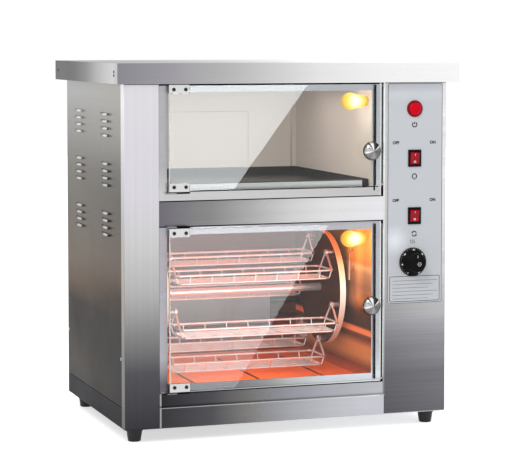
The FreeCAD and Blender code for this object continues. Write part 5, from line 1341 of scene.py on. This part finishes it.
class ROASTER_OT_controls(bpy.types.Operator):
    """Builds the indicator, the rocker switches, the dial and the printed marks"""
    bl_idname = "roaster.controls"
    bl_label = "Controls"

    def execute(self, context):
        looks = context.scene.roaster_controls
        self.ink = finish(print_ink, tuple(looks.ink))
        self.white = finish(moulded, "white_print", 0.92, 0.5)
        self.thick = looks.print_height
        self.label()
        self.indicator()
        self.switches()
        self.dial(looks.ticks)
        self.marks()
        return {"FINISHED"}

    def label(self):
        low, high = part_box("control_label")
        bm = from_node("control_label")
        settle("label_overlay", finished_mesh("label_overlay", bm), "cabinet",
               [finish(label_film)], ["control_label"])

    def indicator(self):
        """Maroon bezel and a lit red dome."""
        low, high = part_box("indicator_bezel")
        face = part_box("control_label")[0].y
        centre = Vector(((low.x + high.x) / 2, face, (low.z + high.z) / 2))
        radius = (high.x - low.x) / 2
        lens_radius = (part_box("indicator_lens")[1].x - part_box("indicator_lens")[0].x) / 2
        proud = face - low.y
        back = high.y - face
        body = radius * 0.67
        bm = bmesh.new()
        lathe(bm, [(0, -back), (body, -back), (body, 0), (radius, 0), (radius, 0.35 * proud),
                   (radius - 0.6 * MM, 0.85 * proud), (radius - 1.3 * MM, proud), (lens_radius + 0.5 * MM, proud),
                   (lens_radius + 0.1 * MM, 0.8 * proud), (lens_radius + 0.1 * MM, 0.3 * proud),
                   (0, 0.3 * proud)], centre)
        settle("indicator_ring", finished_mesh("indicator_ring", bm, 40), "cabinet",
               [finish(moulded, "maroon_plastic", (0.50, 0.03, 0.09), 0.3, 0.05, 0.0, 0.2)],
               ["indicator_bezel"])
        red = (0.82, 0.0, 0.12)
        lens_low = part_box("indicator_lens")[0].y
        tall = face - lens_low
        dome = [(lens_radius * math.cos(a), proud + (tall - proud) * math.sin(a))
                for a in (math.radians(90) * i / 10 for i in range(10))]
        bm = bmesh.new()
        lathe(bm, [(0, 0.34 * proud), (lens_radius, 0.34 * proud), *dome, (0, tall)], centre)
        settle("indicator_dome", finished_mesh("indicator_dome", bm, 40), "cabinet",
               [finish(red_plastic, "red_lens", tuple(red), 0.04, 0.1)], ["indicator_lens"])

    def switches(self):
        black = finish(moulded, "switch_black", 0.05, 0.34, 0.12, 0.0, 0.1)
        bm = from_node("rocker_housings")
        soften(bm, 0.45 * MM)
        settle("switch_bezels", finished_mesh("switch_bezels", bm, 40), "cabinet", [black],
               ["rocker_housings"])
        for name in ("light", "motor"):
            node = name + "_rocker"
            low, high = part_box(node)
            bm = from_node(node)
            soften(bm, 0.4 * MM)
            settle(name + "_rocker_cap", finished_mesh(name + "_rocker_cap", bm, 40), name + "_switch",
                   [finish(red_plastic, "red_rocker", (0.62, 0.05, 0.11), 0.08, 0.2)], [node])
            middle = Vector(((low.x + high.x) / 2, 0, (low.z + high.z) / 2))
            bm = bmesh.new()
            for text, offset, height in (("O", -6.4 * MM, 5.2 * MM), ("I", 6.4 * MM, 4.8 * MM)):
                spot, normal = surface_at(node, middle.x, middle.z + offset)
                add_upright(bm, letters(text, height, self.thick), spot, normal)
            settle(name + "_rocker_marks", finished_mesh(name + "_rocker_marks", bm), name + "_switch",
                   [self.white])

    def dial(self, ticks):
        """Black dial: a bevelled skirt with ticks and numbers, and a fluted cap with a pointer ring."""
        low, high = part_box("thermostat_knob")
        radius = (high.x - low.x) / 2
        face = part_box("control_label")[0].y - 0.6 * MM
        centre = Vector(((low.x + high.x) / 2, face, (low.z + high.z) / 2))
        reach = face - low.y
        cap = 17.5 * MM
        skirt = 6 * MM
        bm = bmesh.new()
        lathe(bm, [(0, 0), (radius - 0.5 * MM, 0), (radius, 0.5 * MM), (radius, 2 * MM),
                   (radius - 0.4 * MM, 2.7 * MM), (cap + 1.6 * MM, skirt), (cap + 0.6 * MM, skirt + 0.2 * MM),
                   (cap, skirt + 1.2 * MM), (cap - 0.8 * MM, reach - 1.8 * MM), (cap - 1.6 * MM, reach - 0.6 * MM),
                   (cap - 3 * MM, reach), (cap - 4.4 * MM, reach - 0.3 * MM), (0, reach - 0.3 * MM)], centre, steps=96)
        for vert in bm.verts:
            offset = vert.co - centre
            along = -offset.y
            around = math.hypot(offset.x, offset.z)
            if along > skirt + 0.9 * MM and cap - 1.7 * MM < around < cap + 0.1 * MM:
                wave = 1 - 0.022 * (1 + math.cos(24 * math.atan2(offset.z, offset.x)))
                vert.co = Vector((centre.x + offset.x * wave, vert.co.y, centre.z + offset.z * wave))
        lathe(bm, [(0, 0), (3 * MM, 0), (3 * MM, high.y - face), (0, high.y - face)], centre,
              Vector((0, 1, 0)), 24)
        settle("dial_body", finished_mesh("dial_body", bm, 45), "dial",
               [finish(moulded, "dial_black", 0.05, 0.38, 0.15, 0.0, 0.08)], ["thermostat_knob"])
        lean = math.atan2(skirt - 2.7 * MM, radius - cap - 2 * MM)
        middle = (radius + cap + 1.2 * MM) / 2
        level = (2.7 * MM + skirt) / 2
        marks = bmesh.new()
        ring = grow(TREES["ring"], {"Count": ticks, "Radius": radius - 1.6 * MM, "Sweep": math.radians(300),
                                    "Long": 1.7 * MM, "Width": 0.35 * MM, "Height": 0.9 * MM,
                                    "Material": self.white})
        add_upright(marks, ring, centre + FRONT_AXIS * 3.3 * MM)
        for i, number in enumerate(("0", "50", "100", "150", "200", "250", "300")):
            angle = math.radians(-150 + 50 * i)
            out = Vector((math.sin(angle), 0, math.cos(angle)))
            spot = centre + out * (middle - 0.4 * MM) + FRONT_AXIS * (level + 0.35 * MM)
            normal = (FRONT_AXIS * math.cos(lean) + out * math.sin(lean)).normalized()
            mesh = letters(number, 3.4 * MM, self.thick)
            stand = Matrix((out.cross(normal), (normal.cross(out.cross(normal))), normal)).transposed().to_4x4()
            mesh.transform(Matrix.Translation(spot) @ stand)
            marks.from_mesh(mesh)
            bpy.data.meshes.remove(mesh)
        spot = centre + Vector((3.4 * MM, 0, -2.2 * MM)) + FRONT_AXIS * (reach - 0.3 * MM)
        ring_points = [(3.1 * MM * math.cos(math.tau * i / 28), 3.1 * MM * math.sin(math.tau * i / 28))
                       for i in range(28)]
        add_upright(marks, band(ring_points, 0.7 * MM, self.thick, True), spot)
        add_upright(marks, flat_shape([(-1.5 * MM, -0.3 * MM), (1.5 * MM, -0.3 * MM), (1.5 * MM, 0.3 * MM),
                                       (-1.5 * MM, 0.3 * MM)], self.thick), spot, turn=math.radians(20))
        add_upright(marks, flat_shape([(-0.5 * MM, 9 * MM), (0.5 * MM, 9 * MM), (0.3 * MM, 14 * MM),
                                       (-0.3 * MM, 14 * MM)], self.thick), centre + FRONT_AXIS * reach)
        settle("dial_marks", finished_mesh("dial_marks", marks), "dial", [self.white])

    def marks(self):
        """Printed words, pictograms, border and the ruled note below the dial."""
        low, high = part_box("control_label")
        face = low.y
        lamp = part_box("indicator_bezel")
        lamp_z = (lamp[0].z + lamp[1].z) / 2
        column_x = (lamp[0].x + lamp[1].x) / 2
        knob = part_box("thermostat_knob")
        knob_z = (knob[0].z + knob[1].z) / 2
        bm = bmesh.new()
        for name in ("light", "motor"):
            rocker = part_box(name + "_rocker")
            z = (rocker[0].z + rocker[1].z) / 2
            for text, x in (("OFF", -35.5 * MM), ("ON", 35 * MM)):
                add_upright(bm, letters(text, 7.0 * MM, self.thick), Vector((column_x + x, face, z + 27.5 * MM)))
            add_upright(bm, self.pictogram(name), Vector((column_x, face, z - 32 * MM)))
        add_upright(bm, self.pictogram("power"), Vector((column_x, face, lamp_z - 28 * MM)))
        add_upright(bm, self.pictogram("heat"), Vector((column_x - 3 * MM, face, knob_z + 36 * MM)))
        note = (low.x + 4.5 * MM, low.z + 3.5 * MM, high.x - 4.5 * MM, low.z + 48 * MM)
        add_upright(bm, self.outline(*note, 2.5 * MM, 0.95 * MM), Vector((0, face, 0)))
        for i in range(6):
            z = note[3] - (8 + 6.4 * i) * MM
            end = note[2] - (4 + 9 * (i % 3)) * MM
            add_upright(bm, flat_shape([(note[0] + 5 * MM, z), (end, z), (end, z + 0.5 * MM),
                                        (note[0] + 5 * MM, z + 0.5 * MM)], self.thick), Vector((0, face, 0)))
        settle("label_print", finished_mesh("label_print", bm), "cabinet", [self.ink])
        bm = bmesh.new()
        add_upright(bm, self.outline(low.x + 0.5 * MM, low.z + 0.6 * MM, high.x - 0.7 * MM, high.z - 0.7 * MM,
                                     3 * MM, 1.0 * MM), Vector((0, face, 0)))
        settle("label_border", finished_mesh("label_border", bm), "cabinet",
               [finish(moulded, "border_grey", (0.40, 0.41, 0.44), 0.5)])

    def outline(self, left, low, right, high, corner, width):
        """A thin rounded frame."""
        points = []
        for x, z, start in ((right - corner, high - corner, 0), (left + corner, high - corner, 90),
                            (left + corner, low + corner, 180), (right - corner, low + corner, 270)):
            points += [(x + corner * math.cos(math.radians(start + 22.5 * i)),
                        z + corner * math.sin(math.radians(start + 22.5 * i))) for i in range(5)]
        return band(points, width, self.thick, True)

    def pictogram(self, kind):
        """Small plain signs: power, lamp, turning carousel and heat."""
        bm = bmesh.new()
        radius, width = 4.2 * MM, 1.9 * MM

        def curve(start, end, count=24, size=radius):
            return [(size * math.cos(math.radians(start + (end - start) * i / count)),
                     size * math.sin(math.radians(start + (end - start) * i / count))) for i in range(count + 1)]
        meshes = []
        if kind == "power":
            meshes.append(band(curve(125, 415), width, self.thick))
            meshes.append(flat_shape([(-width / 2, 0.6 * MM), (width / 2, 0.6 * MM), (width / 2, 4.6 * MM),
                                      (-width / 2, 4.6 * MM)], self.thick))
        elif kind == "light":
            meshes.append(band(curve(-55, 235), width, self.thick))
            for z in (-3.6 * MM, -5.2 * MM):
                meshes.append(flat_shape([(-2 * MM, z - 0.5 * MM), (2 * MM, z - 0.5 * MM), (2 * MM, z + 0.5 * MM),
                                          (-2 * MM, z + 0.5 * MM)], self.thick))
        elif kind == "motor":
            for turn in (0, 180):
                meshes.append(band(curve(20 + turn, 140 + turn), width, self.thick))
                tip = math.radians(150 + turn)
                middle = Vector((radius * math.cos(tip), radius * math.sin(tip)))
                way = Vector((-math.sin(tip), math.cos(tip)))
                side = Vector((math.cos(tip), math.sin(tip)))
                corners = [middle + way * 2.2 * MM, middle - way * 0.8 * MM + side * 2 * MM,
                           middle - way * 0.8 * MM - side * 2 * MM]
                meshes.append(flat_shape([tuple(c) for c in corners], self.thick))
        else:
            for x in (-3.4 * MM, 0, 3.4 * MM):
                wave = [(x + 0.9 * MM * math.sin(math.tau * i / 16), (i - 8) * 0.45 * MM) for i in range(17)]
                meshes.append(band(wave, 0.9 * MM, self.thick))
        for mesh in meshes:
            bm.from_mesh(mesh)
            bpy.data.meshes.remove(mesh)
        mesh = bpy.data.meshes.new(kind + "_sign")
        bm.to_mesh(mesh)
        bm.free()
        return mesh


# Chambers.


class ROASTER_OT_chambers(bpy.types.Operator):
    """Lights the lamps and both chambers, and folds the heater guard"""
    bl_idname = "roaster.chambers"
    bl_label = "Chambers"

    def execute(self, context):
        looks = context.scene.roaster_chambers
        bulbs = loose_boxes("lamp_bulbs")
        bm_glass = []
        for i, (low, high) in enumerate(bulbs):
            name = "upper" if (low.z + high.z) / 2 > 0.45 else "lower"
            self.lamp(name, low, high, looks)
        for name, liner, colour in (("upper", "warming_liner", looks.lamp_light),
                                    ("lower", "oven_liner", looks.oven_light)):
            low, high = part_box(liner)
            self.fill(name + "_fill", Vector(((low.x + high.x) / 2, (low.y + high.y) / 2 - 0.05, high.z - 4 * MM)),
                      (0.8 * (high.x - low.x), 0.6 * (high.y - low.y)), looks.fill_power, colour)
        self.rail()
        self.wall_folds()
        bm = from_node("heater_guard")
        soften(bm, 0.5 * MM)
        settle("guard_fold", finished_mesh("guard_fold", bm, 40), "cabinet",
               [finish(guard_paint)], ["heater_guard"])
        return {"FINISHED"}

    def rail(self):
        """The tray's steel front bar, and the enamelled corner that shows past its right end."""
        low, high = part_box("tray_front_rail")
        end = high.x - 7.5 * MM
        bm = bmesh.new()
        block(bm, low, (end, high.y, high.z))
        soften(bm, 0.6 * MM, material=1)
        settle("tray_front_bar", finished_mesh("tray_front_bar", bm), "warming_pan",
               [finish(sheet_steel, "tray_rail"), finish(edge_highlight_steel)], ["tray_front_rail"])
        bm = bmesh.new()
        block(bm, (end + 0.2 * MM, low.y, low.z), (end + 12 * MM, high.y, high.z + 1.5 * MM))
        soften(bm, 0.8 * MM)
        settle("tray_corner", finished_mesh("tray_corner", bm), "warming_pan",
               [finish(moulded, "corner_enamel", 0.05, 0.3, 0.05, 0.0, 0.1)])

    def wall_folds(self):
        """Folds of the warming chamber's rear wall: a corner bead drawn as a painted highlight line, and a faint panel
        edge.
        """
        low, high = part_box("warming_liner")
        face = high.y - 0.9 * MM
        foot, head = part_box("warming_tray")[1].z, high.z - 51 * MM
        bead, edge = high.x - 10.5 * MM, high.x - 98.7 * MM
        bm = bmesh.new()
        block(bm, (bead - 1.2 * MM, face - 1 * MM, foot), (bead + 1.2 * MM, face, head + 14 * MM))
        soften(bm, 0.4 * MM)
        settle("corner_bead", finished_mesh("corner_bead", bm), "cabinet",
               [finish(sheet_steel, "bead_steel")])
        bm = bmesh.new()
        block(bm, (edge - 0.4 * MM, face - 0.4 * MM, foot), (edge + 0.4 * MM, face, head))
        block(bm, (low.x + 2 * MM, face - 0.4 * MM, head - 0.4 * MM), (edge, face, head + 0.4 * MM))
        settle("panel_edge", finished_mesh("panel_edge", bm), "cabinet",
               [finish(plain_metal, "panel_edge_steel", (0.60, 0.55, 0.52), 0.5)])

    def lamp(self, name, low, high, looks):
        """A lit globe on its threaded cap, its light inside it."""
        radius = (high.z - low.z) / 2
        liner_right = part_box("lamp_sockets")[0].x
        centre = Vector((0, (low.y + high.y) / 2, (low.z + high.z) / 2))
        start = Vector((low.x, centre.y, centre.z))
        reach = liner_right - low.x
        profile = [(radius * math.sin(a), radius * 1.12 * (1 - math.cos(a)))
                   for a in (math.radians(120) * i / 16 for i in range(17))]
        neck = 8 * MM
        profile += [(0.72 * radius, 0.80 * reach), (neck + 0.5 * MM, 0.93 * reach), (neck, reach),
                    (neck, reach + 1 * MM), (0, reach + 1 * MM)]
        bm = bmesh.new()
        lathe(bm, profile, start, Vector((1, 0, 0)), 48)
        core = Vector((low.x + 0.46 * reach, low.y + 1 * MM, centre.z + 1 * MM))
        globe = settle(name + "_lamp_globe", finished_mesh(name + "_lamp_globe", bm, 60), "cabinet",
                       [finish(lamp_glow, name + "_lamp_glow", core, 26 * MM,
                               (0.98, 0.80, 0.25) if name == "upper" else (1.0, 0.72, 0.16))],
                       ["lamp_bulbs"])
        globe.visible_shadow = False
        bm = bmesh.new()
        rings = [(0, reach), (neck - 1 * MM, reach)]
        thread = [(neck - (0.3 + 0.7 * (i % 2)) * MM, reach + (1 + 1.1 * i) * MM) for i in range(11)]
        lathe(bm, [*rings, *thread, (3 * MM, high.x - low.x - 1 * MM), (0, high.x - low.x)], start,
              Vector((1, 0, 0)), 40)
        settle(name + "_lamp_cap", finished_mesh(name + "_lamp_cap", bm, 40), "cabinet",
               [finish(plain_metal, "cap_brass", (0.80, 0.66, 0.36), 0.3)])
        data = bpy.data.lights.new(name + "_lamp_light", "POINT")
        data.energy = looks.lamp_power
        data.color = looks.lamp_light
        data.shadow_soft_size = 12 * MM
        lamp = bpy.data.objects.new(name + "_lamp_light", data)
        lamp.location = start + Vector((0.45 * reach, 0, 0))
        lamp.visible_camera = lamp.visible_transmission = False
        bpy.context.scene.collection.objects.link(lamp)

    def fill(self, name, spot, size, power, colour):
        data = bpy.data.lights.new(name, "AREA")
        data.shape = "RECTANGLE"
        data.size, data.size_y = size
        data.energy = power
        data.color = colour
        lamp = bpy.data.objects.new(name, data)
        lamp.location = spot
        lamp.visible_camera = lamp.visible_transmission = lamp.visible_glossy = False
        bpy.context.scene.collection.objects.link(lamp)


class ROASTER_OT_feet(bpy.types.Operator):
    """Turns the four rubber feet with their collars and sole rings"""
    bl_idname = "roaster.feet"
    bl_label = "Feet"

    def execute(self, context):
        bm = bmesh.new()
        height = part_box("base_pan")[0].z
        for low, high in loose_boxes("feet"):
            centre = Vector(((low.x + high.x) / 2, (low.y + high.y) / 2, 0))
            profile = [(0, 0.4 * MM), (7 * MM, 0.4 * MM), (7.6 * MM, 0), (10.2 * MM, 0), (11 * MM, 0.9 * MM),
                       (11.6 * MM, 4 * MM), (13.6 * MM, 17.5 * MM), (14.9 * MM, 18.4 * MM),
                       (15 * MM, height - 0.8 * MM), (14.4 * MM, height), (3 * MM, height),
                       (3 * MM, high.z), (0, high.z)]
            lathe(bm, profile, centre, Vector((0, 0, 1)), 40)
        settle("rubber_feet", finished_mesh("rubber_feet", bm, 40), "cabinet",
               [finish(moulded, "foot_rubber", 0.06, 0.3, 0.1)], ["feet"])
        return {"FINISHED"}


def plain(name, tone, roughness, pits=0.1, coat=0.0):
    return finish(moulded, name, tone, roughness, pits, coat)


class ROASTER_OT_frame_finish(bpy.types.Operator):
    """Finishes the frame's own pieces that need no other mesh"""
    bl_idname = "roaster.frame_finish"
    bl_label = "Frame Finish"

    def execute(self, context):
        zinc = finish(plain_metal, "zinc", (0.72, 0.72, 0.73), 0.3)
        # The basket wires carry a faint painted glow.
        wires = finish(plain_metal, "basket_chrome", (0.95, 0.93, 0.92), 0.24, 60.0, 0.1)
        chosen = {
            "left_side_panel": finish(side_steel), "right_side_panel": finish(side_steel),
            "rear_panel": finish(sheet_steel, "rear_panel"), "warming_liner": finish(warm_liner_steel),
            "oven_liner": finish(oven_liner_steel), "insulation_slabs": finish(wool_board),
            "heating_elements": finish(plain_metal, "sheath", (0.34, 0.27, 0.22), 0.45),
            "thermostat_body": plain("ceramic", (0.90, 0.88, 0.84), 0.3, 0.05, 0.3),
            "lamp_sockets": plain("ceramic", (0.90, 0.88, 0.84), 0.3, 0.05, 0.3),
            "thermostat_probe": finish(plain_metal, "copper", (0.86, 0.70, 0.58), 0.25),
            "gear_motor": plain("motor_paint", (0.22, 0.23, 0.25), 0.4, 0.3),
            "motor_bracket": zinc, "shaft_coupling": zinc, "basket_pins": zinc, "tray_runners": zinc,
            "carousel_shaft": wires, "shaft_bearings": finish(plain_metal, "bronze", (0.72, 0.52, 0.28), 0.4),
            "left_disc": finish(carousel_steel), "right_disc": finish(carousel_steel),
            "warming_tray": plain("tray_enamel", 0.10, 0.22, 0.05, 0.4),
            "cable_gland": plain("gland_black", 0.12, 0.42, 0.2),
            "terminal_block": plain("terminal_cream", (0.90, 0.88, 0.80), 0.42, 0.1),
        }
        for i in range(1, 7):
            chosen["basket_%d" % i] = wires
        for node, material in chosen.items():
            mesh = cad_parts[node].data
            mesh.materials.clear()
            mesh.materials.append(material)
        return {"FINISHED"}


class ROASTER_PT_panel(bpy.types.Panel):
    """The roaster's settings and its building steps"""
    bl_idname = "ROASTER_PT_panel"
    bl_label = "Roaster"
    bl_space_type = "VIEW_3D"
    bl_region_type = "UI"
    bl_category = "Roaster"

    def draw(self, context):
        for group in SETTINGS:
            settings = getattr(context.scene, group)
            for prop in settings.bl_rna.properties.keys():
                if prop not in ("rna_type", "name"):
                    self.layout.prop(settings, prop)
        for operator in OPERATORS:
            self.layout.operator(operator.bl_idname)


SETTINGS = {"roaster_sheet": RoasterSheet, "roaster_doors": RoasterDoors,
            "roaster_controls": RoasterControls, "roaster_chambers": RoasterChambers}
OPERATORS = [ROASTER_OT_stage, ROASTER_OT_cabinet, ROASTER_OT_fasteners, ROASTER_OT_doors,
             ROASTER_OT_controls, ROASTER_OT_chambers, ROASTER_OT_feet, ROASTER_OT_frame_finish]


def register():
    for settings in SETTINGS.values():
        bpy.utils.register_class(settings)
    for name, settings in SETTINGS.items():
        setattr(bpy.types.Scene, name, PointerProperty(type=settings))
    for operator in OPERATORS:
        bpy.utils.register_class(operator)
    bpy.utils.register_class(ROASTER_PT_panel)


def unregister():
    bpy.utils.unregister_class(ROASTER_PT_panel)
    for operator in reversed(OPERATORS):
        bpy.utils.unregister_class(operator)
    for name in SETTINGS:
        delattr(bpy.types.Scene, name)
    for settings in SETTINGS.values():
        bpy.utils.unregister_class(settings)


def main():
    register()
    for operator in OPERATORS:
        group, action = operator.bl_idname.split(".")
        getattr(getattr(bpy.ops, group), action)()


if __name__ == "__main__":
    main()
